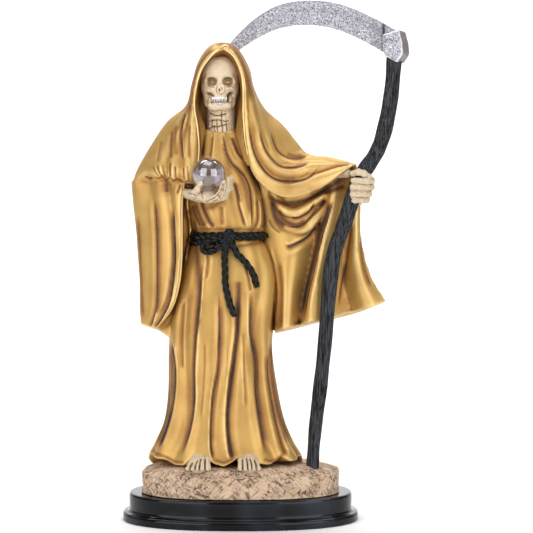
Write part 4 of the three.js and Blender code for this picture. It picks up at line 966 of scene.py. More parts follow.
def plinth_gloss():
    """Black lacquer, with a painted blue sheen in soft patches."""
    made, tree, shader = material("plinth_gloss", (0.002, 0.0025, 0.004), 0.12, 0, Coat_Weight=0.3)
    shader.inputs["Coat Roughness"].default_value = 0.02
    shader.inputs["Specular IOR Level"].default_value = 0.1
    # Painted blue sheen in soft, tall patches
    cloud = span(tree, speckle(tree, 0.03, 2, (1, 1, 0.3)), 0.42, 0.66)
    black_with_painted_sheen = blend(tree, cloud, (0.001, 0.0012, 0.002), (0.02, 0.024, 0.034))
    link(tree, black_with_painted_sheen, shader.inputs["Base Color"])
    dust = speckle(tree, 0.5, 4)
    link(tree, span(tree, dust, 0.4, 0.8, 0.08, 0.16), shader.inputs["Roughness"])
    return made


def clear_glass():
    """Clear glass under a coat that mirrors the lamps."""
    made, _, shader = material("clear_glass", (0.72, 0.66, 0.62), 0.0, 0, IOR=1.45)
    shader.inputs["Transmission Weight"].default_value = 1.0
    shader.inputs["Coat Weight"].default_value = 1.0
    shader.inputs["Coat IOR"].default_value = 2.3
    shader.inputs["Coat Roughness"].default_value = 0.02
    shader.inputs["Coat Tint"].default_value = (0.86, 0.87, 1.0, 1)
    return made


# Pieces


def place(name, points, faces, look, nodes, slot, marks=None):
    """Puts a mesh into the scene as a piece that stands for some of the solids."""
    data = bpy.data.meshes.new(name)
    data.from_pydata((np.asarray(points) * MM).tolist(), [], np.asarray(faces).tolist())
    data.materials.append(look)
    data.shade_smooth()
    for mark, values in (marks or {}).items():
        layer = data.attributes.new(mark, "FLOAT", "POINT")
        layer.data.foreach_set("value", np.asarray(values, np.float32))
    piece = bpy.data.objects.new(name, data)
    bpy.context.scene.collection.objects.link(piece)
    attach(piece, "root")
    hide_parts(*nodes)
    return piece


def shut_in(mesh, around, reach=12.0, rays=8):
    """How much of the light the surfaces of the tree keep from each point, from 0 to 1."""
    normals = mesh.normals()
    shut = np.zeros(len(mesh.points))
    generator = np.random.default_rng(4)
    starts = (mesh.points + normals * 0.4).tolist()
    for way in unit(generator.normal(size=(rays, 3))):
        tilted = unit(normals * 1.1 + way).tolist()
        for i, (start, direction) in enumerate(zip(starts, tilted)):
            hit = around.ray_cast(start, direction, reach)[3]
            if hit is not None:
                shut[i] += 1 - hit / reach
    return mesh.blurred(shut / rays, 3)


def height_over(mesh, rounds):
    """How far each point stands out from the surface's blurred form, below 0 in a hollow."""
    return np.einsum("ij,ij->i", mesh.points - mesh.blurred(mesh.points, rounds), mesh.normals())


def shade_marks(mesh, strokes, around, fine=4, broad=40, depths=(0.35, 2)):
    """The marks that the paints read. The brown, partly painted shade, is strongest in hollows as deep
    as the two depths and on the strokes, and is painted shade where the surfaces of a tree shut out the
    light. The ridge mark, a painted highlight, is where none of it lies."""
    near, far = height_over(mesh, fine), height_over(mesh, broad)
    shallow, deep = depths
    wash_and_shade = 0.5 * smooth_step(-near, 0, shallow) + 0.5 * smooth_step(-far, 0.1 * deep, deep)
    wash_and_shade = np.maximum(wash_and_shade, strokes)
    # Painted shade where the other surfaces shut out the light
    if around is not None:
        wash_and_shade = wash_and_shade + 0.4 * smooth_step(shut_in(mesh, around), 0.22, 0.9)
    # Painted highlight on the raised parts, where there is no brown
    ridge = 0.5 * smooth_step(near, 0, shallow) + 0.6 * smooth_step(far, 0, deep)
    return {"wash_and_shade": np.clip(wash_and_shade, 0, 1), "ridge": np.clip(ridge - wash_and_shade, 0, 0.6)}


def hidden(mesh, around):
    """Which points lie within another closed surface of the tree, away from its edge."""
    inside = np.zeros(len(mesh.points))
    ways = mesh.normals()
    for i, (start, way) in enumerate(zip((mesh.points + 0.3 * ways).tolist(), ways.tolist())):
        hit, normal = around.ray_cast(start, way)[:2]
        inside[i] = hit is not None and normal.dot(way) > 0
    for _ in range(3):
        inside = np.minimum(inside, (mesh.average(inside) > 0.99) * 1.0)
    return inside > 0.5


def tree_of(*meshes):
    """All the surfaces in one search tree."""
    starts = np.cumsum([0] + [len(mesh.points) for mesh in meshes])
    points = np.vstack([mesh.points for mesh in meshes])
    quads = np.vstack([mesh.quads + start for mesh, start in zip(meshes, starts)])
    return BVHTree.FromPolygons(points.tolist(), quads.tolist())


def laid_on(tree, path, lift, reach=3.0):
    """The path moved in depth, to lie on the front of the surfaces where they are near it."""
    laid = path.copy()
    forward = Vector((0, 1, 0))
    for k, place_at in enumerate(path):
        hit = tree.ray_cast(Vector(place_at - [0, reach, 0]), forward, 2 * reach)[0]
        if hit is not None:
            laid[k, 1] = hit.y - lift
    for _ in range(12):
        laid[1:-1, 1] = (laid[:-2, 1] + 2 * laid[1:-1, 1] + laid[2:, 1]) / 4
    return laid


def ripple(mesh, size, height, seed):
    """Uneven swelling of the surface, in patches of a size in millimetres."""
    scaled = mesh.points / size + seed
    swell = np.array([noise.noise(Vector(p)) for p in scaled.tolist()])
    return mesh.push(swell * height)


def robe():
    """The gown with its creases, and how brown they leave each point."""
    mesh = Mesh(*skin([gown()], cell("gown"))).soften(3)
    strokes = carve(mesh, GOWN_CREASES)
    return mesh.soften(1), strokes


def mantle():
    """The hood, the sleeve, the panel behind the handle and the back as one skin, with its creases, and
    how brown they leave each point."""
    cloth = [drape(MANTLE, 420, 26), drape(SLEEVE, 200, 26), drape(PANEL, 160, 26), cape()]
    cloth += [rounded_tube(places, radius, radius * 0.7) for places, radius in SWAGS]
    mesh = Mesh(*skin(cloth, cell("mantle"))).soften(4)
    # A brown groove of painted shade along each bright edge
    shade_beside_edges = [(0.4, 1, 0.5, [[x, z] for x, _, z in places]) for places in EDGES]
    strokes = carve(mesh, MANTLE_CREASES + shade_beside_edges)
    return mesh.soften(1), strokes


def hood_lining():
    return Mesh(*skin([drape(HOOD_LINING, 300, 12)], cell("hood_lining"))).soften(2)


def in_hood(points):
    """Which points lie within the line of the hood's rim, from 0 to 1."""
    rim = np.array(next(places for name, _, _, places in MANTLE if name == "rim"))
    top = rim[:, 2].argmax()
    across, _, height = ((points - spots([[0, 0, 0]])) / SHARE).T
    left = np.interp(height, rim[:top + 1, 2], rim[:top + 1, 0])
    right = np.interp(height, rim[top:top + 6, 2][::-1], rim[top:top + 6, 0][::-1])
    within = np.minimum(across - left, right - across)
    return smooth_step(within, -0.25, 0.05) * smooth_step(height, 68, 71)


# Head: millimetres from HEAD, the middle of the line through the eyes, y away from the face

HEAD = np.array([-11.8, -2, 255.4])
# Dents, as (depth, x, z, half width, half height, softness); those round the eyes leave more brown,
# as staining and painted shade
BROW_DENTS = [
    (2.1, -4.6, 0.2, 4.1, 3, 0.4), (2.1, 5, 0.2, 4.1, 3, 0.4), (-0.7, -4.7, -0.4, 1.9, 1.2, 1),
    (-0.7, 5, -0.4, 1.9, 1.2, 1), (0.9, -9.4, 3.4, 2.2, 3, 1), (0.9, 9.4, 3.4, 2.2, 3, 1),
    (-0.35, 0, 3.6, 9, 1.5, 1),
]
FACE_DENTS = [
    (-0.9, 0.7, -4.6, 3, 3.3, 0.5), (1.5, 0, -5, 0.9, 1.5, 0.6), (1.2, 1.6, -4.6, 0.7, 1.7, 0.6),
    (0.7, 0.9, -3.3, 1.3, 0.6, 0.8), (-0.9, -6.8, -4.9, 4, 1.9, 0.7), (-0.9, 7, -4.9, 4, 1.9, 0.7),
    (1.4, -6.2, -8.6, 2.8, 1.6, 0.7), (1.4, 6.6, -8.2, 2.6, 1.6, 0.7), (0.9, -0.1, -11.2, 4.9, 2.6, 0.3),
    (0.7, -7.4, -11.8, 1.4, 3, 1), (0.7, 7.6, -11.6, 1.4, 3, 1),
]
FACE_CREASES = [
    (0.3, 0.3, 0.5, [[-9.6, -2.8], [-7, -2.9], [-4.6, -3.2], [-2.8, -3.4]]),
    (0.25, 0.3, 0.35, [[-9.2, -4.3], [-7, -4.2], [-4.6, -4.6]]),
    (0.3, 0.3, 0.5, [[10, -2.6], [8, -3.4], [6, -2.9], [4, -3.8]]),
    (0.25, 0.3, 0.45, [[9.8, -4.2], [7.4, -4.8], [5.4, -4.4], [3.8, -5.4]]),
    (0.25, 0.3, 0.4, [[9.4, -5.8], [7.2, -5.8], [5, -6.4]]),
    (0.25, 0.3, 0.5, [[-0.6, -2], [-1.8, -3.8], [-1.5, -6.2], [0.6, -7.4], [2.6, -6.4], [3.2, -4.4],
        [2.4, -2.4]]),
    (0.3, 0.35, 0.55, [[-9.4, -6.2], [-8, -6.9], [-6.4, -6.8], [-4.8, -7]]),
    (1.1, 1, 1, [[-8.2, -6.9], [-6.6, -7.2], [-4.8, -7.8], [-4.3, -9.4], [-4.6, -12.6]]),
    (1.1, 1, 1, [[9, -6.2], [7.4, -6.9], [5.8, -7.5], [5.1, -9.2], [5.3, -12.2]]),
    # Painted shade in the mouth behind the teeth
    (0, 1.2, 0.9, [[-4.4, -11], [0, -11.3], [4.4, -11]]),
    # Painted shadow along the top of each eye socket
    (0.2, 0.6, 0.9, [[-7.6, 1.1], [-6.2, 2], [-4.4, 2.1], [-2.2, 1.1]]),
    (0.2, 0.6, 0.9, [[7.8, 1.1], [6.2, 2], [4.6, 2.1], [2.4, 1.1]]),
    (0.2, 0.4, 0.7, [[-7.6, -1.4], [-5.6, -2.5], [-3.4, -2.4], [-1.8, -1]]),
    (0.2, 0.4, 0.7, [[7.8, -1.2], [6.2, -2.4], [4, -2.5], [2.2, -1.2]]),
    (0.2, 0.35, 0.7, [[-6.4, 0.9], [-5.2, 1.4], [-4, 0.8]]),
    (0.2, 0.35, 0.7, [[-6, -1.2], [-4.8, -0.6], [-3.6, -1.2]]),
    (0.2, 0.35, 0.7, [[3.4, 1.2], [4.6, 0.6], [6, 1.3]]),
    (0.2, 0.35, 0.7, [[3.6, -0.6], [5, -1.4], [6.6, -0.8]]),
    (0.25, 0.3, 0.4, [[9.2, 4], [9.6, 6], [8.6, 8.4]]),
    (0.3, 0.4, 0.3, [[-8.4, -13], [-6, -15.6], [-3.6, -17]]),
]


def on_head(places):
    """Millimetres on the figure from millimetres on the head."""
    return np.asarray(places, float) + HEAD


def skull():
    """The skull with its dents and creases, and how brown they leave each point."""
    clay = Clay((-13, -15, -20), (13, 16, 17), cell("skull"))
    for side in (-1, 1):
        cranium = clay.egg((1.7 * side, 1.5, 4.9), (9.6, 12.4, 10.8))
        cheek = clay.egg((1.9 * side, -1.2, -2.7), (9.1, 10.2, 9))
        clay.add(cranium, 2)
        clay.add(cheek, 2)
    mouth = clay.egg((-0.2, -2, -9.3), (9, 9, 7.4))
    clay.add(mouth, 2)
    for side in (-1, 1):
        jaw = [(7.4 * side, -1, -7.6), (6.9 * side, -4, -12.5), (3.4 * side, -8, -14.7)]
        clay.add(clay.limb(jaw, (2, 1.9, 2.1)), 1)
    chin = clay.limb([(-4.4, -8.4, -14.1), (4, -8.4, -13.7)], (2.6, 2.6))
    behind_jaw = clay.egg((0.2, 4, -8.1), (10.8, 5.6, 10))
    clay.add(chin, 1)
    clay.add(behind_jaw, 0.3)
    mesh = clay.mesh().soften(2)
    mesh.points += HEAD
    eyes, pressed = dent(mesh, BROW_DENTS, on_head), dent(mesh, FACE_DENTS, on_head)
    strokes = carve(mesh, FACE_CREASES, on_head, -0.2)
    ripple(ripple(mesh, 1.5, 0.2, 3.0), 4, 0.3, 1.0)
    # Brown in the eye sockets, as staining and painted shade, more where they are pressed deeper
    socket_stain_and_shade = 0.36 * smooth_step(eyes, 0.3, 1.2) + 0.2 * smooth_step(eyes, 1.5, 2.1)
    return mesh, np.maximum(strokes, socket_stain_and_shade + 0.4 * smooth_step(pressed, 0.4, 2.4))


# The upper and the lower teeth, as (count, width of the row, low, high)
TOOTH_ROWS = ((6, 9, -11.8, -8.8), (7, 7.6, -13.6, -12.3))


def teeth():
    """Two rows of teeth, and how brown the gaps between them are."""
    clay = Clay((-7, -14, -16), (7, -6, -8), cell("teeth"))
    for count, width, low, high in TOOTH_ROWS:
        pitch = width / count
        for i in range(count):
            across = (i + 0.5) / count * 2 - 1
            x, y = across * width / 2 - 0.1, -10.8 + 1.7 * abs(across) ** 2
            tooth = [(x - 0.1, y, low + pitch * 0.35), (x, y, high - pitch * 0.3)]
            clay.add(clay.limb(tooth, (pitch * 0.4, pitch * 0.45)), 0.05)
    mesh = clay.mesh()
    across, low = mesh.points[:, 0] + 0.1, mesh.points[:, 2]
    count, width, *_ = TOOTH_ROWS[0]
    from_gap = np.abs(across / (width / count) % 1 - 0.5)
    upper = smooth_step(-low, 9.3, 11) * smooth_step(low, -12.2, -11.9)
    brown = smooth_step(-from_gap, -0.3, -0.05) * upper
    brown = np.maximum(brown, 0.2 * smooth_step(-low, 12.2, 12.4))
    mesh.points += HEAD
    return mesh, brown


# Lines of the neck's bones, as the creases of the robe
NECK_CREASES = [
    (0.6, 0.6, 0.8, [[-7.25, 83.6], [-6.83, 83.32], [-6.04, 82.9], [-5.08, 82.81], [-3.92, 83.04],
        [-2.94, 83.32]]),
    (0.6, 0.55, 0.8, [[-7.13, 81.41], [-6.67, 81.58], [-5.46, 81.69], [-4.29, 81.58], [-3.52, 81.37],
        [-2.4, 81.65]]),
    (0.6, 0.55, 0.8, [[-7.37, 79.67], [-6.9, 79.97], [-6.32, 80.3], [-5.27, 80.18], [-4.22, 80.48],
        [-2.31, 80.88]]),
    (0.6, 0.55, 0.8, [[-4.38, 84.21], [-4.34, 82.65], [-4.41, 81.48], [-4.2, 80.32], [-4.06, 78.15]]),
    (0.5, 0.5, 0.8, [[-6.41, 81.76], [-6.48, 81.48], [-6.6, 80.6], [-6.64, 80.13]]),
    (0.5, 0.45, 0.8, [[-5.46, 81.74], [-5.43, 81.18], [-5.43, 80.13]]),
    (0.5, 0.45, 0.8, [[-5.43, 80.34], [-5.29, 79.78], [-5.01, 78.62]]),
    (0.5, 0.45, 0.8, [[-6.18, 80.48], [-6.08, 79.78], [-5.8, 78.73]]),
    (0.5, 0.45, 0.8, [[-3.38, 81.65], [-3.15, 80.95], [-3.1, 80.25], [-2.92, 79.08]]),
]


def neck():
    """A flattened column that flares at its foot, with the lines of its bones."""
    low, high, half_width, half_depth, lean = 222, 243, 8.4, 7.2, 0.11
    angle = np.arange(160) / 160 * 2 * np.pi
    rings = []
    for height in np.linspace(low, high, 120):
        flare = 0.6 * smooth_step(-height, -230, -223)
        x, y = np.cos(angle) * (half_width + flare), np.sin(angle) * (half_depth + flare)
        around = np.stack([x, y, 0 * angle], -1)
        rings.append(around + [-11.2, -3.4 + lean * (height - low), height])
    mesh = Mesh(*skin([loft(np.stack(rings))], cell("neck")))
    strokes = carve(mesh, NECK_CREASES)
    ripple(mesh, 2.2, 0.25, 8.0)
    return mesh, strokes


# Hands and feet, in millimetres

BALL_LOW, BALL_HIGH = (np.array(corner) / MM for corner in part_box("glass_ball"))
BALL_MIDDLE, BALL_RADIUS = (BALL_LOW + BALL_HIGH) / 2, (BALL_HIGH[2] - BALL_LOW[2]) / 2

# Lines of the open hand, as the creases of the robe
HAND_CREASES = [
    (0.7, 0.5, 0.8, [[-7.8, 62.5], [-6.9, 63], [-5.5, 63.7], [-4.5, 64.8], [-4, 65.9],
        [-3.8, 67.1]]),
    (0.7, 0.5, 0.8, [[-6.9, 62.1], [-6.1, 62.4], [-4.8, 63.3], [-3.9, 64.6], [-3.5, 65.9],
        [-3.3, 67.3]]),
    (0.8, 0.5, 0.9, [[-8.7, 66], [-8.5, 65.5], [-8.4, 64], [-8.1, 63.4]]),
    (0.5, 0.5, 0.6, [[-12.1, 64.8], [-11, 64.5], [-9.8, 64]]),
    (0.5, 0.5, 0.6, [[-11.9, 63.4], [-10.5, 63.1], [-9.4, 62.9], [-8.2, 62.5]]),
    (0.4, 0.4, 0.7, [[-9, 66], [-8.6, 66.2], [-8.1, 66]]),
    (0.4, 0.4, 0.7, [[-5, 64.3], [-4.5, 64], [-4.3, 63.5]]),
    (0.4, 0.4, 0.7, [[-4.3, 65.7], [-3.8, 65.5], [-3.4, 65.2]]),
]


def open_hand():
    """A wrist, a palm under the ball, four fingers behind and beside it, and a thumb before it."""
    clay = Clay((-44, -42, 182), (-1, -6, 206), cell("open_hand"))
    wrist = spots([[-16, -4, 65.8], [-13, -7.2, 64.8], [-9.6, -10.6, 63.9]])
    clay.add(clay.limb(wrist, (3.1, 2.7, 3.2)), 1)
    palm = BALL_MIDDLE - [0, 0, BALL_RADIUS + 3.4]
    clay.add(clay.egg(palm + [-1.5, 0.4, 0], (7, 6.4, 3.7)), 1.5)
    fingers = [
        ((-6.9, -13.9, 63.4), (-5.1, -14.7, 63.7), (-3.9, -14.6, 65), (-3.5, -14.2, 67.2), 1.7),
        ((-6.3, -12.9, 63.1), (-3.9, -13.4, 63.7), (-2.9, -13.3, 65.4), (-2.5, -12.8, 68), 1.75),
        ((-6.1, -11.4, 63.2), (-3.4, -11.7, 63.9), (-2.3, -11.6, 65.8), (-2, -11.3, 68.4), 1.7),
        ((-6.3, -10, 63.4), (-3.8, -9.9, 64.2), (-2.8, -9.9, 65.8), (-2.5, -10.1, 67.6), 1.5),
    ]
    for *joints, thick in fingers:
        clay.add(clay.limb(spots(joints), (thick * 1.1, thick, thick * 0.92, thick * 0.7)), 0.3)
        for joint, swell in zip(spots(joints)[1:3], (1.12, 1.06)):
            clay.add(clay.egg(joint, (thick * swell,) * 3), 0.5)
    thumb = spots([[-10.6, -11.6, 63.9], [-10.3, -13.5, 64.6], [-9.4, -14.8, 65.6], [-8.5, -15, 67]])
    clay.add(clay.limb(thumb, (2.3, 2, 1.75, 1.25)), 0.8)
    clay.cut(clay.egg(BALL_MIDDLE, (BALL_RADIUS + HAND_GAP,) * 3), 0.3)
    under_palm = [
        ((-6.6, -13.6, 61.6), (-9.6, -12, 62)), ((-5.6, -13.9, 62.2), (-8.6, -12.6, 61.6)),
    ]
    for line in under_palm:
        clay.cut(clay.limb(spots(line), (0.35, 0.25)), 0.6)
    mesh = clay.mesh().soften(2)
    strokes = carve(mesh, HAND_CREASES, facing=-0.2)
    return ripple(ripple(mesh, 1.6, 0.25, 5.0), 0.8, 0.1, 2.0), 0.6 * strokes


# The middle of the fist, and the handle's line through it from the rock up
GRIP = [26.7, -8.8, 66.2]
HANDLE_LINE = [
    [16.9, -5.6, 1.2], [17.4, -6, 9.2], [18.7, -6.8, 20.5], [19.8, -7.2, 31.7], [21.4, -8, 49.9],
    [23.1, -8.3, 55.1], [24.7, -8.6, 59.7], GRIP, [28.5, -8.8, 69.7], [31.2, -8.6, 73.6],
    [33, -8.3, 78.2], [34.8, -7.6, 87.2], [35.5, -6.9, 95.5],
]


def handle_places():
    """The handle's line in millimetres, from its foot in the rock to its top in the socket."""
    places = spots(HANDLE_LINE)
    foot = [*places[0, :2], HANDLE_BOTTOM]
    top = places[-1] + unit(np.array([0.08, 0.05, 1])) * SOCKET_SEAT
    return np.vstack([foot, places, top])


def handle_line(count):
    """The handle's middle line, smoothed over a 24th of its length on either side."""
    line = curve(handle_places(), np.linspace(0, 1, count), 0.5)
    reach = count // 24
    weights = np.hanning(2 * reach + 3)[1:-1]
    weights /= weights.sum()
    before = 2 * line[0] - line[reach:0:-1]
    after = 2 * line[-1] - line[-2:-reach - 2:-1]
    long_line = np.vstack([before, line, after])
    return np.stack([np.convolve(axis, weights, "valid") for axis in long_line.T], -1)


# The closed fingers, as (height, tip's left end, knuckle's right end, thickness)
FINGERS = [
    (198, 62.9, 77.3, 1.95), (194.3, 62.3, 77.2, 2), (190.5, 62.5, 75.8, 1.95),
    (187, 63.3, 74.3, 1.75),
]
# The thumb over them, as (x, height, thickness)
THUMB = [
    (64.8, 202.2, 1.8), (67.5, 202.9, 2), (70.5, 202.2, 1.9), (73.2, 200.8, 1.7), (75.2, 199.2, 1.3),
]


def fist():
    """Fingers and a thumb that close round the handle, a knobbly palm behind it, and the wrist."""
    line = handle_line(600)
    reach = HANDLE_RADIUS + HAND_GAP

    def on_front(x, height, thick):
        """A place before the handle, as near to it as a finger can lie."""
        middle = [np.interp(height, line[:, 2], line[:, k]) for k in (0, 1)]
        across = np.clip(x - middle[0], -reach - thick, reach + thick)
        return np.array([x, middle[1] - math.sqrt((reach + thick) ** 2 - across**2), height])

    grip = spots(GRIP)
    clay = Clay(grip - [19, 9, 13], grip + [13, 17, 14], cell("fist"))
    wrist = spots([[20, -3.4, 69.4], [22.6, -5, 69.3], [24.8, -6.4, 69.3]])
    clay.add(clay.limb(wrist, (3.6, 2.9, 2.6)), 1)
    palm = np.array([[68, -12.6, 200], [68.6, -12.4, 193], [67.5, -12.8, 187.5]])
    clay.add(clay.limb(palm, (3.8, 4.6, 3.8)), 1.5)
    for (height, left, right, _), (below, *_) in zip(FINGERS, FINGERS[1:]):
        between, filling = (height + below) / 2, 1.1
        stops = (left + 1.6, left + 5, right - 5, right - 2.4)
        row = [on_front(x, between, filling) for x in stops]
        clay.add(clay.limb(row, (filling,) * 4), 0.2)
    for height, left, right, thick in FINGERS:
        tip, middle = on_front(left + thick, height, thick), on_front(left + 5.5, height, thick)
        joint = on_front(right - 5.2, height, thick) + [0, -0.3, 0]
        knuckle = np.array([right - thick, joint[1] + 4.2, height + 0.1])
        places = [tip, middle, joint, knuckle, knuckle + [-0.6, 5, 0], [67, -14, height]]
        clay.add(clay.limb(places, np.array([0.95, 0.92, 1, 1, 1, 1]) * thick), 0.15)
        clay.add(clay.egg(joint + [0, -0.1, 0], (thick * 1.16, thick * 1.1, thick * 1.08)), 0.4)
        clay.add(clay.egg(knuckle, (thick * 1.05, thick * 1.2, thick * 1.08)), 0.4)
        pits = [
            ((joint + knuckle) / 2 + [0.9, -1.6, -thick], (1, 1, 0.6)),
            (joint + [1.9, -1.9, 0], (0.5, 0.7, 1.2)), (middle + [-1.2, -thick, 0], (0.35, 0.4, 1)),
        ]
        for pit, radii in pits:
            clay.cut(clay.egg(pit, radii), 0.4)
    thumb = [on_front(x, height, thick) for x, height, thick in THUMB]
    clay.add(clay.limb(thumb, [0.9 * thick for _, _, thick in THUMB]), 0.2)
    for place_at, (_, _, thick) in zip(thumb, THUMB):
        clay.add(clay.egg(place_at, (thick * 1.1, thick, thick * 1.05)), 0.2)
    clay.cut(clay.limb(line[::20], [reach] * len(line[::20])), 0.2)
    return ripple(ripple(clay.mesh().soften(2), 1.8, 0.25, 6.0), 0.8, 0.12, 3.0)


# Toes in millimetres, as (x at the tip, x and height where the hem hides it, thickness)
FEET = {
    "foot_right": [
        (-29.6, -28.2, 36.4, 1.25), (-27, -25.2, 38, 1.3), (-24.3, -22.6, 39, 1.35),
        (-21.5, -20.8, 39.6, 1.4), (-18.2, -19, 39.2, 1.85)],
    "foot_left": [
        (0.5, 0.7, 38.8, 1.7), (3.3, 2.5, 39.4, 1.4), (6, 4.6, 39.6, 1.4), (8.5, 6.8, 39.2, 1.35),
        (10.9, 9.2, 38, 1.25)],
}


def foot(toes):
    """Long bony toes that come out from under the hem, and how brown the gaps between them are."""
    left, right = toes[0][0] - 5, toes[-1][0] + 5
    clay = Clay((left, -36, 29), (right, -18, 44), cell("foot"))
    middle = (left + right) / 2
    clay.add(clay.limb([(middle, -22, 37.5), (middle, -26, 36)], (6, 5.4)), 0.5)
    for tip, start, height, thick in toes:
        reach = -33.6 + 0.09 * abs(tip - middle) ** 1.4
        places = np.array([
            [start, -24.5, height], [mix(start, tip, 0.35), -28, height - 0.6],
            [mix(start, tip, 0.75), reach + 2.6, height - 2.6], [tip, reach + thick, 33.6 + thick * 0.6],
        ])
        clay.add(clay.limb(places, np.array([0.95, 1, 0.9, 1]) * thick), 0.15)
        clay.add(clay.egg(places[1], (thick * 1.12,) * 3), 0.3)
        clay.cut(clay.egg(places[3] + [0, -thick, thick * 0.7], (thick * 0.5, 0.5, 0.6)), 0.3)
    lines = []
    for (tip, start, height, _), (next_tip, next_start, next_height, _) in zip(toes, toes[1:]):
        back, fore = (start + next_start) / 2, (tip + next_tip) / 2
        top = (height + next_height) / 2
        lines.append((0.5, 0.5, 1, [[back, top + 0.6], [mix(back, fore, 0.6), top - 1.6], [fore, 33]]))
    mesh = clay.mesh().soften(2)
    strokes = carve(mesh, lines, np.array, facing=-0.4)
    return ripple(mesh, 1.6, 0.15, 2.0), strokes


# Rope: its lines on the figure, and each strand's place and thickness in shares of the rope's radius

STRAND_OUT, STRAND_RADIUS = 0.56, 0.5
LOOP = [
    [-3.2, -9.1, 54.6], [-6.4, -9.1, 54], [-8.4, -8.6, 52.8], [-8.3, -8.8, 51.6], [-7, -9.2, 51.2],
    [-5.4, -9.4, 52], [-3.2, -9.5, 53.9],
]
KNOT = [
    [-3.3, -9.6, 54], [-3.1, -10, 55.4], [-2.2, -10, 55.9], [-1.6, -9.8, 54.8], [-2.4, -10, 53.8],
]
FIRST_TAIL = [
    [-3, -9.4, 54.4], [-3.5, -9.2, 50.3], [-3.4, -9.3, 47], [-3.3, -9.4, 43.6], [-2.6, -9.5, 40.4],
    [-1.2, -9.6, 36.3],
]
SECOND_TAIL = [
    [-2.3, -9.4, 54.4], [-0.6, -9.2, 50.8], [1.2, -9, 48.9], [3, -8.4, 46.2], [4.1, -7.9, 42.9],
]


def laid_rope(places, radius, pitch=14.0, taper=1.0):
    """Three strands twisted together along a line in millimetres."""
    path = curve(places, np.linspace(0, 1, 60 * len(places)), 0.5)
    length = np.concatenate([[0], np.cumsum(np.linalg.norm(np.diff(path, axis=0), axis=1))])
    step = 0.3
    even = np.arange(0, length[-1], step)
    path = np.stack([np.interp(even, length, path[:, k]) for k in range(3)], -1)
    side = rings_along(path, 1.0, 3)[:, 0] - path
    other = unit(np.cross(unit(np.gradient(path, axis=0)), side))
    thin = mix(1, taper, smooth_step(even, even[-1] - 4, even[-1])) * radius
    strands = []
    for phase in (0, 2 * np.pi / 3, 4 * np.pi / 3):
        turn = even / pitch * 2 * np.pi + phase
        offset = np.cos(turn)[:, None] * side + np.sin(turn)[:, None] * other
        strand = path + offset * (thin * STRAND_OUT)[:, None]
        strands.append(loft(rings_along(strand, thin * STRAND_RADIUS, 14)))
    return strands


def rope():
    """The belt's upper and lower turn, the loop, the tails, and the knot round a short core."""
    upper = np.linspace(-0.03, 0.53, 30)
    lower = np.linspace(0.3, 0.53, 16)
    belt = gown_points(BELT_HEIGHT, upper, 0.55)
    second = gown_points(BELT_HEIGHT - 1 - 1.6 * (lower - 0.3), lower, 0.5)
    strands = laid_rope(belt, ROPE_RADIUS * 1.22) + laid_rope(second, ROPE_RADIUS * 1.1)
    for places, taper in ((LOOP, 1.0), (FIRST_TAIL, 0.75), (SECOND_TAIL, 0.75)):
        strands += laid_rope(spots(places), ROPE_RADIUS * 0.95, taper=taper)
    knot = spots(KNOT)
    closed = np.vstack([knot, knot[:1] + [0.4, 0.6, 0]])
    strands += laid_rope(closed, ROPE_RADIUS * 0.9, 5)
    strands.append(rounded_tube([[-2.9, -9.2, 54.9], [-2.2, -9.2, 54.9]], 1.2, 1.2))
    return Mesh(*skin(strands, cell("rope"))).soften(1)


# Rock


def rock_block():
    """The rock's plain form: an oval block with a rounded rim, its top higher before the feet."""
    turns = np.arange(700) / 700
    height = ROCK["top"] - ROCK["bottom"]
    rings = []
    for t in np.linspace(0, 1, 90):
        inset = 0.8 + 2.4 * smooth_step(t, 0.8, 1) ** 2
        xy = oval(ROCK["width"] - 2 * inset, ROCK["depth"] - 2 * inset, ROCK["power"], turns)
        z = np.full(len(turns), ROCK["bottom"] + height * t)
        rings.append(np.column_stack([xy, z]))
    edge = rings[-1]
    before_feet = 1.2 * smooth_step(-edge[:, 1], 4, 22)
    for t in np.linspace(0.02, 0.9, 60):
        dome = ROCK["top"] + 0.3 + 2.2 * smooth_step(t, 0, 0.16) + before_feet
        dome = np.where(t < 0.05, mix(edge[:, 2], dome, t / 0.05), dome)
        rings.append(np.column_stack([edge[:, :2] * (1 - t), dome]))
    return loft(np.stack(rings))


def rough(x, y, z):
    return noise.noise(Vector((x, y, z)))


def rock():
    """The block, cut by slanting chisel strokes and wider layers. The strokes lean one way or the other
    from patch to patch. Returns how deep in a stroke each point lies as well."""
    mesh = Mesh(*skin([rock_block()], cell("rock"))).soften(1)
    at = mesh.points
    middle_height, mean_radius = 24, 46
    along = np.arctan2(at[:, 1] / ROCK["depth"], at[:, 0] / ROCK["width"]) * mean_radius
    swell, grooves = np.zeros(len(at)), np.zeros(len(at))
    for i, (x, y, z) in enumerate(at.tolist()):
        up = z - middle_height
        lumps = rough(x / 11 + 5, y / 11, z / 7)
        lean = 0.9 if rough(x / 16, y / 16, z / 14 + 3) > -0.05 else -0.7
        across, down = along[i] + lean * up + 2.5 * lumps, up - lean * along[i]
        depth = y / 3 if z > ROCK["top"] - 1 else 0
        chisel = rough(across / 2.3, down / 10, lean + depth)
        strata = rough(across / 5, down / 16 + 9, lean + depth)
        cuts = 0.8 * math.exp(-((chisel / 0.11) ** 2)) + 0.9 * math.exp(-((strata / 0.06) ** 2))
        grooves[i] = cuts * min(1, max(0.1, 0.6 + 1.4 * rough(x / 4, y / 4, z / 3)))
        swell[i] = 1.0 * lumps + 0.35 * chisel + 0.5 * strata - 0.55 * grooves[i]
    side = 1 - smooth_step(at[:, 2], ROCK["top"] - 1.5, ROCK["top"] + 1)
    calm = smooth_step(at[:, 2], ROCK["bottom"], ROCK["bottom"] + 1.5)
    mesh.push((swell * mix(0.6, 1, side) - 0.4) * calm)
    return mesh, grooves


# Scythe


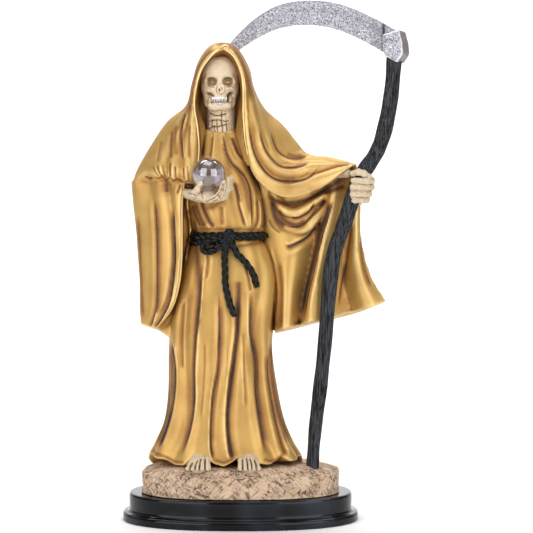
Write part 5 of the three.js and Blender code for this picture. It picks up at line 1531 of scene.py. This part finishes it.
def handle():
    """The bent shaft, cut by long grooves of bark, and how deep in them each point lies."""
    path, sides = handle_line(400), 90
    t = np.linspace(0, 1, len(path))
    radius = mix(HANDLE_FOOT_RADIUS, HANDLE_RADIUS, smooth_step(t, 0, 0.4))
    knobs = 0.12 * np.sin(t * 41) + 0.1 * np.sin(t * 97)
    radius = radius + knobs * smooth_step(-t, -1, -0.9)
    rings = rings_along(path, radius, sides)
    angles = np.arange(sides) / sides * 2 * np.pi
    reach = rings - path[:, None]
    for k in range(len(path)):
        for i, angle in enumerate(angles):
            wave = Vector((math.cos(angle) * 6, math.sin(angle) * 6, t[k] * 7))
            groove = abs(noise.noise(wave)) + 0.35 * abs(noise.noise(wave * 2.1))
            share = 1.01 - 0.1 * math.exp(-((groove / 0.12) ** 2)) + 0.03 * groove
            rings[k, i] = path[k] + reach[k, i] * share
    out = np.linalg.norm(rings - path[:, None], axis=2) / radius[:, None]
    points, faces = loft(rings)
    ends = [0, 0]
    return points, faces, np.concatenate([smooth_step(-out, -0.99, -0.86).ravel(), ends])


def blade_frame():
    """The blade's root and its directions: out along it, to its face, and up."""
    root = handle_places()[-1]
    out = np.array([-math.cos(BLADE_TURN), math.sin(BLADE_TURN), 0])
    side = np.array([-math.sin(BLADE_TURN), -math.cos(BLADE_TURN), 0])
    return root, out, side, np.array([0, 0, 1.0])


# The blade's middle line, out and up in shares of its reach, and its width in shares of the widest
BLADE_SHAPE = [
    [0.01, 0.008, 0.98], [0.146, 0.085, 0.97], [0.3, 0.152, 0.985], [0.45, 0.182, 0.98],
    [0.6, 0.178, 0.94], [0.72, 0.14, 0.82], [0.84, 0.07, 0.62], [0.93, -0.005, 0.38], [1, -0.085, 0.06],
]


def blade():
    """A curved blade with a thick spine above, a thin edge below, and a point."""
    root, out, side, up = blade_frame()
    t = np.linspace(0, 1, 260)
    line = curve([[a * BLADE_REACH, b * BLADE_REACH, w * BLADE_WIDTH] for a, b, w in BLADE_SHAPE], t)
    way = unit(np.gradient(line[:, :2], axis=0))
    normal = np.stack([-way[:, 1], way[:, 0]], -1)
    thinner_to_tip = mix(1, 0.35, t**2)
    across = np.linspace(0.5, -0.5, 40)
    thick = BLADE_EDGE + (BLADE_SPINE - BLADE_EDGE) * smooth_step(across, 0.02, 0.3) * 0.6
    thick = thick + (BLADE_SPINE - BLADE_EDGE) * 0.4 * (across + 0.5)
    thick = thick * np.sqrt(np.clip(1 - (np.abs(across) / 0.5) ** 12, 0.02, 1))
    face = np.stack([across, thick / 2], -1)
    section = np.concatenate([face, face[::-1] * [1, -1]])
    rings = []
    for (a, b, width), (right, above), thin in zip(line, normal, thinner_to_tip):
        along, high = a + right * section[:, 0] * width, b + above * section[:, 0] * width
        deep = section[:, 1] * thin
        rings.append(root + np.outer(along, out) + np.outer(high, up) + np.outer(deep, side))
    return loft(np.stack(rings))


# The socket's corners, out and up in shares of its width and height
SOCKET_OUTLINE = [
    [0.36, 0.46], [-0.5, 0.33], [-0.44, -0.32], [0.25, -0.59], [0.58, -0.29], [0.53, 0.06],
]


def rounded_outline(corners, radius):
    """A closed line through the corners, each rounded over the radius before and after it."""
    rounded = []
    for i, corner in enumerate(corners):
        before, after = corners[i - 1], corners[(i + 1) % len(corners)]
        a, b = corner + unit(before - corner) * radius, corner + unit(after - corner) * radius
        c = after + unit(corner - after) * radius
        for u in np.linspace(0, 1, 9)[:, None]:
            rounded.append(a * (1 - u) ** 2 + 2 * corner * u * (1 - u) + b * u * u)
        for u in np.linspace(0, 1, 14)[1:-1, None]:
            rounded.append(b * (1 - u) + c * u)
    return np.vstack(rounded)


def socket():
    """A six-cornered block, narrower at its two faces."""
    root, out, side, up = blade_frame()
    corners = np.array(SOCKET_OUTLINE) * [SOCKET["width"], SOCKET["height"]]
    outline = rounded_outline(corners, SOCKET["corner"])
    middle, half = outline.mean(0), SOCKET["depth"] / 2
    bevel = [(0, 0.8), (0, 0.86), (0.4, 0.945), (1.1, 1)]
    levels = [(-half + inward, size) for inward, size in bevel]
    levels += [(depth, 1) for depth in np.linspace(-half + 1.6, half - 1.6, 24)]
    levels += [(half - inward, size) for inward, size in bevel[::-1]]
    rings = []
    for depth, size in levels:
        flat = middle + (outline - middle) * size
        rings.append(root - np.outer(flat[:, 0], out) + np.outer(flat[:, 1], up) + depth * side)
    return loft(np.stack(rings))


# Plinth


def plinth():
    """The oval base: a rounded foot, a cove above it, and an upright with a rounded rim."""
    soft, within = 1.0, 0.3
    foot, step, height = PLINTH["foot"], PLINTH["step"], PLINTH["height"]
    levels = [
        (2, 0.05), (0.35, 0.05), (0, 0.5), (0, foot - 1.7), (0.25, foot - 0.8), (soft, foot - 0.1),
        (soft * 1.6, foot), (step - soft, foot + 0.25), (step - 0.35, foot + 0.75), (step, foot + 1.6),
        (step, height - 1.4), (step + 0.3, height - 0.5), (step + 1.1, height - 0.05),
        (step + 2.2, height), (step + 6, height),
    ]
    path = curve([[inset, z, 0] for inset, z in levels], np.linspace(0, 1, 60), 0.5)
    turns = np.arange(240) / 240
    rings = []
    for inset, z, _ in path:
        inset = max(inset, 0) + within
        xy = oval(PLINTH["width"] - 2 * inset, PLINTH["depth"] - 2 * inset, PLINTH["power"], turns)
        rings.append(np.column_stack([xy, np.full(len(turns), np.clip(z, 0, height))]))
    return loft(np.stack(rings))


def ball():
    """A sphere in the solid ball's place."""
    turns = np.arange(96) / 96 * 2 * np.pi
    ring = np.stack([np.cos(turns), np.sin(turns), 0 * turns], -1)
    tilts = np.linspace(0.02, np.pi - 0.02, 64)
    rings = [ring * [math.sin(a), math.sin(a), 0] + [0, 0, -math.cos(a)] for a in tilts]
    points, faces = loft(np.stack(rings))
    return BALL_MIDDLE + points * BALL_RADIUS, faces


# Everything, marked for its paint

CASTING, CASTING_SLOT = ["figure"], "gilt_resin"


def show(name, mesh, look, marks, surfaces):
    """Places a mesh of the casting without the faces that lie within its other surfaces."""
    seen = mesh.quads[~hidden(mesh, surfaces)[mesh.quads].all(1)]
    used = np.unique(seen)
    marks = {mark: np.asarray(values)[used] for mark, values in marks.items()}
    place(name, mesh.points[used], np.searchsorted(used, seen), look, CASTING, CASTING_SLOT, marks)


def edge_lines(cloth, look):
    """Thin tubes with a painted highlight, pointed at both ends, along the edges of the cloth."""
    tree, steps = tree_of(cloth), 240
    t = np.linspace(0, 1, steps)
    thin = HEM_RADIUS * np.sqrt(np.sin(np.linspace(0.02, 0.98, steps) * np.pi)) ** 0.5
    for i, places in enumerate(EDGES):
        path = laid_on(tree, curve(spots(places), t, 0.5), HEM_LIFT)
        points, faces = loft(rings_along(path, thin, 8))
        on_sleeve = i == len(EDGES) - 1
        # Painted highlight, softer on the sleeve's lip
        bright = {"ridge": np.full(len(points), 0.4 if on_sleeve else 1)}
        place(f"hem_{i + 1}", points, faces, look, CASTING, CASTING_SLOT, bright)


def mantle_marks(mesh, strokes, surfaces):
    """The marks of cloth, but an even brown within the hood, partly painted shade, with no painted
    highlight.
    """
    marks = shade_marks(mesh, strokes, surfaces)
    hooded = in_hood(mesh.points) * smooth_step(-mesh.normals()[:, 1], -0.3, 0)
    marks["wash_and_shade"] = mix(marks["wash_and_shade"], 0.42, hooded)
    marks["ridge"] *= 1 - hooded
    return marks


def bone_marks(mesh, strokes=0.0):
    return shade_marks(mesh, strokes, None, 3, 16, (0.1, 0.6))


def skull_marks(mesh, strokes):
    """The marks of bone, grey where the face turns back, and a painted highlight on the temples."""
    from_face = mesh.points - HEAD
    beside = np.abs(from_face[:, 0])
    behind = smooth_step(from_face[:, 1], -1.6, 0.2) * smooth_step(-from_face[:, 2], 3, 6)
    turned = np.maximum(smooth_step(beside, 10.8, 11.2), behind)
    marks = bone_marks(mesh, strokes)
    marks["dusk"] = turned * 0.9
    # Painted highlight on the temples, where the hood shades them
    marks["ridge"] = np.maximum(marks["ridge"], smooth_step(beside, 6, 9) * (1 - turned))
    return marks


def neck_marks(mesh, strokes):
    """The marks of bone, grey at both sides."""
    from_middle = mesh.points[:, 0] - HEAD[0] - 0.6
    return {**bone_marks(mesh, strokes * 0.9), "dusk": 0.75 * smooth_step(np.abs(from_middle), 5.2, 8)}


def casting():
    """Places the gilt casting, from the gown to the rock."""
    gown_mesh, gown_strokes = robe()
    cloth, cloth_strokes = mantle()
    lining = hood_lining()
    skull_mesh, skull_strokes = skull()
    teeth_mesh, gaps = teeth()
    neck_mesh, neck_strokes = neck()
    hand, hand_strokes = open_hand()
    fist_mesh, rope_mesh = fist(), rope()
    stone, grooves = rock()
    surfaces = tree_of(gown_mesh, cloth, hand, fist_mesh, skull_mesh, neck_mesh, rope_mesh, stone)

    gold, bone = gold_paint(), bone_paint("bone_paint", (0.56, 0.45, 0.31), (0.27, 0.175, 0.08))
    skull_bone = bone_paint("skull_paint", (0.66, 0.53, 0.37), (0.3, 0.2, 0.09))
    white = bone_paint("tooth_paint", (0.95, 0.93, 0.9), (0.3, 0.25, 0.2))
    rope_shades = shade_marks(rope_mesh, 0, None, 3, 12, (0.15, 0.6))
    stone_shades = shade_marks(stone, grooves, surfaces, 3, 14, (0.2, 0.8))

    show("gown", gown_mesh, gold, shade_marks(gown_mesh, gown_strokes, surfaces), surfaces)
    show("mantle", cloth, gold, mantle_marks(cloth, cloth_strokes, surfaces), surfaces)
    # An even brown over the lining, partly painted shade
    show("hood_lining", lining, gold, {"wash_and_shade": np.full(len(lining.points), 0.2)}, surfaces)
    edge_lines(cloth, gold)
    show("skull", skull_mesh, skull_bone, skull_marks(skull_mesh, skull_strokes), surfaces)
    show("teeth", teeth_mesh, white, bone_marks(teeth_mesh, gaps), surfaces)
    show("neck", neck_mesh, skull_bone, neck_marks(neck_mesh, neck_strokes), surfaces)
    show("open_hand", hand, bone, bone_marks(hand, hand_strokes), surfaces)
    show("fist", fist_mesh, bone, bone_marks(fist_mesh), surfaces)
    for name, toes in FEET.items():
        foot_mesh, foot_strokes = foot(toes)
        show(name, foot_mesh, bone, bone_marks(foot_mesh, foot_strokes), surfaces)
    show("rope", rope_mesh, rope_paint(), rope_shades, surfaces)
    show("rock", stone, rock_paint(), stone_shades, surfaces)


def mark_blade(mesh, marks):
    """Darkens the blade with painted shade by the socket, and along its spine."""
    root, out, _, _ = blade_frame()
    along = (mesh.points - root) @ out
    socket_shade = 0.9 * bell(along - 6.6, 0.7) + 0.3 * smooth_step(-along, -22, -8)
    spine = smooth_step(mesh.normals()[:, 2], 0.1, 0.75)
    marks["wash_and_shade"] = np.maximum(np.maximum(marks["wash_and_shade"], socket_shade), 0.45 * spine)
    marks["ridge"] *= 1 - spine


def mark_socket(mesh, marks):
    """Paints a highlight on the bevel round the socket's front face."""
    ahead = mesh.normals() @ blade_frame()[2]
    bevel = smooth_step(ahead, 0.15, 0.5) * (1 - smooth_step(ahead, 0.8, 0.96))
    marks["ridge"] = np.maximum(marks["ridge"], bevel)


def scythe():
    """Places the shaft, the blade and its socket."""
    points, faces, grooves = handle()
    place("scythe_shaft", points, faces, bark_paint(), ["scythe_handle"], "dark_bark", {"wash_and_shade": grooves})
    silver, inward = silver_paint(), -blade_frame()[1]
    for name, form, mark in (("blade", blade(), mark_blade), ("blade_socket", socket(), mark_socket)):
        mesh = Mesh(*skin([form], cell(name)))
        ripple(ripple(mesh, 1.1, 0.1, 2.0), 0.6, 0.06, 5.0)
        marks = shade_marks(mesh, 0, None, 2, 8, (0.3, 0.5))
        marks["dusk"] = 0.85 * smooth_step(mesh.normals() @ inward, 0.6, 0.85)
        mark(mesh, marks)
        place(name, mesh.points, mesh.quads, silver, ["scythe_blade"], "hammered_metal", marks)


# Studio, in metres

MIDDLE = (0, 0, 0.16)
# Softboxes, as (name, place, aim, width and height, watts)
LAMPS = [
    ("left box", (-0.5, -0.68, 0.3), MIDDLE, (0.66, 0.95), 5.1),
    ("right box", (0.5, -0.66, 0.26), MIDDLE, (0.62, 0.95), 4.7),
    ("top", (-0.1, -0.15, 1.1), MIDDLE, (0.7, 0.5), 2.4),
    ("wall", (0, 0.7, 1.9), (0, 2.2, 0.4), (2.4, 0.6), 60),
]
# The sky's strength, behind the camera and behind the figure
SKY_FRONT, SKY_BACK = 0.3, 0.25
# The photograph's camera; it looks down by a few degrees, and its lens is in millimetres
CAMERA = {"place": (0.01528, -0.9225, 0.1837), "down": 2.2, "lens": 106.3, "sensor": 36}


def backdrop():
    """A pale floor that curves up into a wall."""
    front, bend, back, top, half, below = -3.0, 0.8, 1.6, 4.0, 3.0, 0.0001
    turns = np.linspace(0, np.pi / 2, 16)
    arc = [(back + bend * math.sin(a), bend * (1 - math.cos(a))) for a in turns]
    line = [(front, 0.0), *arc, (back + bend, top)]
    points = [(x, y, z - below) for y, z in line for x in (-half, half)]
    faces = [(2 * i, 2 * i + 1, 2 * i + 3, 2 * i + 2) for i in range(len(line) - 1)]
    data = bpy.data.meshes.new("backdrop")
    data.from_pydata(points, [], faces)
    data.shade_smooth()
    data.materials.append(material("pale_paper", (0.9, 0.9, 0.9), 0.9)[0])
    floor = bpy.data.objects.new("backdrop", data)
    bpy.context.scene.collection.objects.link(floor)


def lamp(name, place_at, aim, size, power):
    light = bpy.data.lights.new(name, "AREA")
    light.shape, light.energy = "RECTANGLE", power
    light.size, light.size_y = size
    made = bpy.data.objects.new(name, light)
    made.location = place_at
    made.rotation_euler = (Vector(aim) - Vector(place_at)).to_track_quat("-Z", "Y").to_euler()
    bpy.context.scene.collection.objects.link(made)


def sky():
    """A white sky that is a little brighter behind the camera."""
    world = bpy.data.worlds.new("studio")
    world.use_nodes = True
    tree = world.node_tree
    background = tree.nodes["Background"]
    where = tree.nodes.new("ShaderNodeTexCoord")
    parts = tree.nodes.new("ShaderNodeSeparateXYZ")
    tree.links.new(where.outputs["Generated"], parts.inputs[0])
    strength = span(tree, parts.outputs[1], -1, 1, SKY_FRONT, SKY_BACK)
    link(tree, strength, background.inputs["Strength"])
    background.inputs["Color"].default_value = (1, 1, 1, 1)
    bpy.context.scene.world = world


def camera():
    view = bpy.data.cameras.new("camera")
    view.lens, view.sensor_width = CAMERA["lens"], CAMERA["sensor"]
    made = bpy.data.objects.new("camera", view)
    made.location = CAMERA["place"]
    made.rotation_euler = Euler((math.radians(90 - CAMERA["down"]), 0, 0))
    bpy.context.scene.collection.objects.link(made)
    bpy.context.scene.camera = made
    bpy.context.scene.view_settings.view_transform = "Standard"


casting()
scythe()
place("base", *plinth(), plinth_gloss(), ["plinth"], "plinth_gloss")
place("ball", *ball(), clear_glass(), ["glass_ball"], "clear_glass")
backdrop()
sky()
for row in LAMPS:
    lamp(*row)
camera()
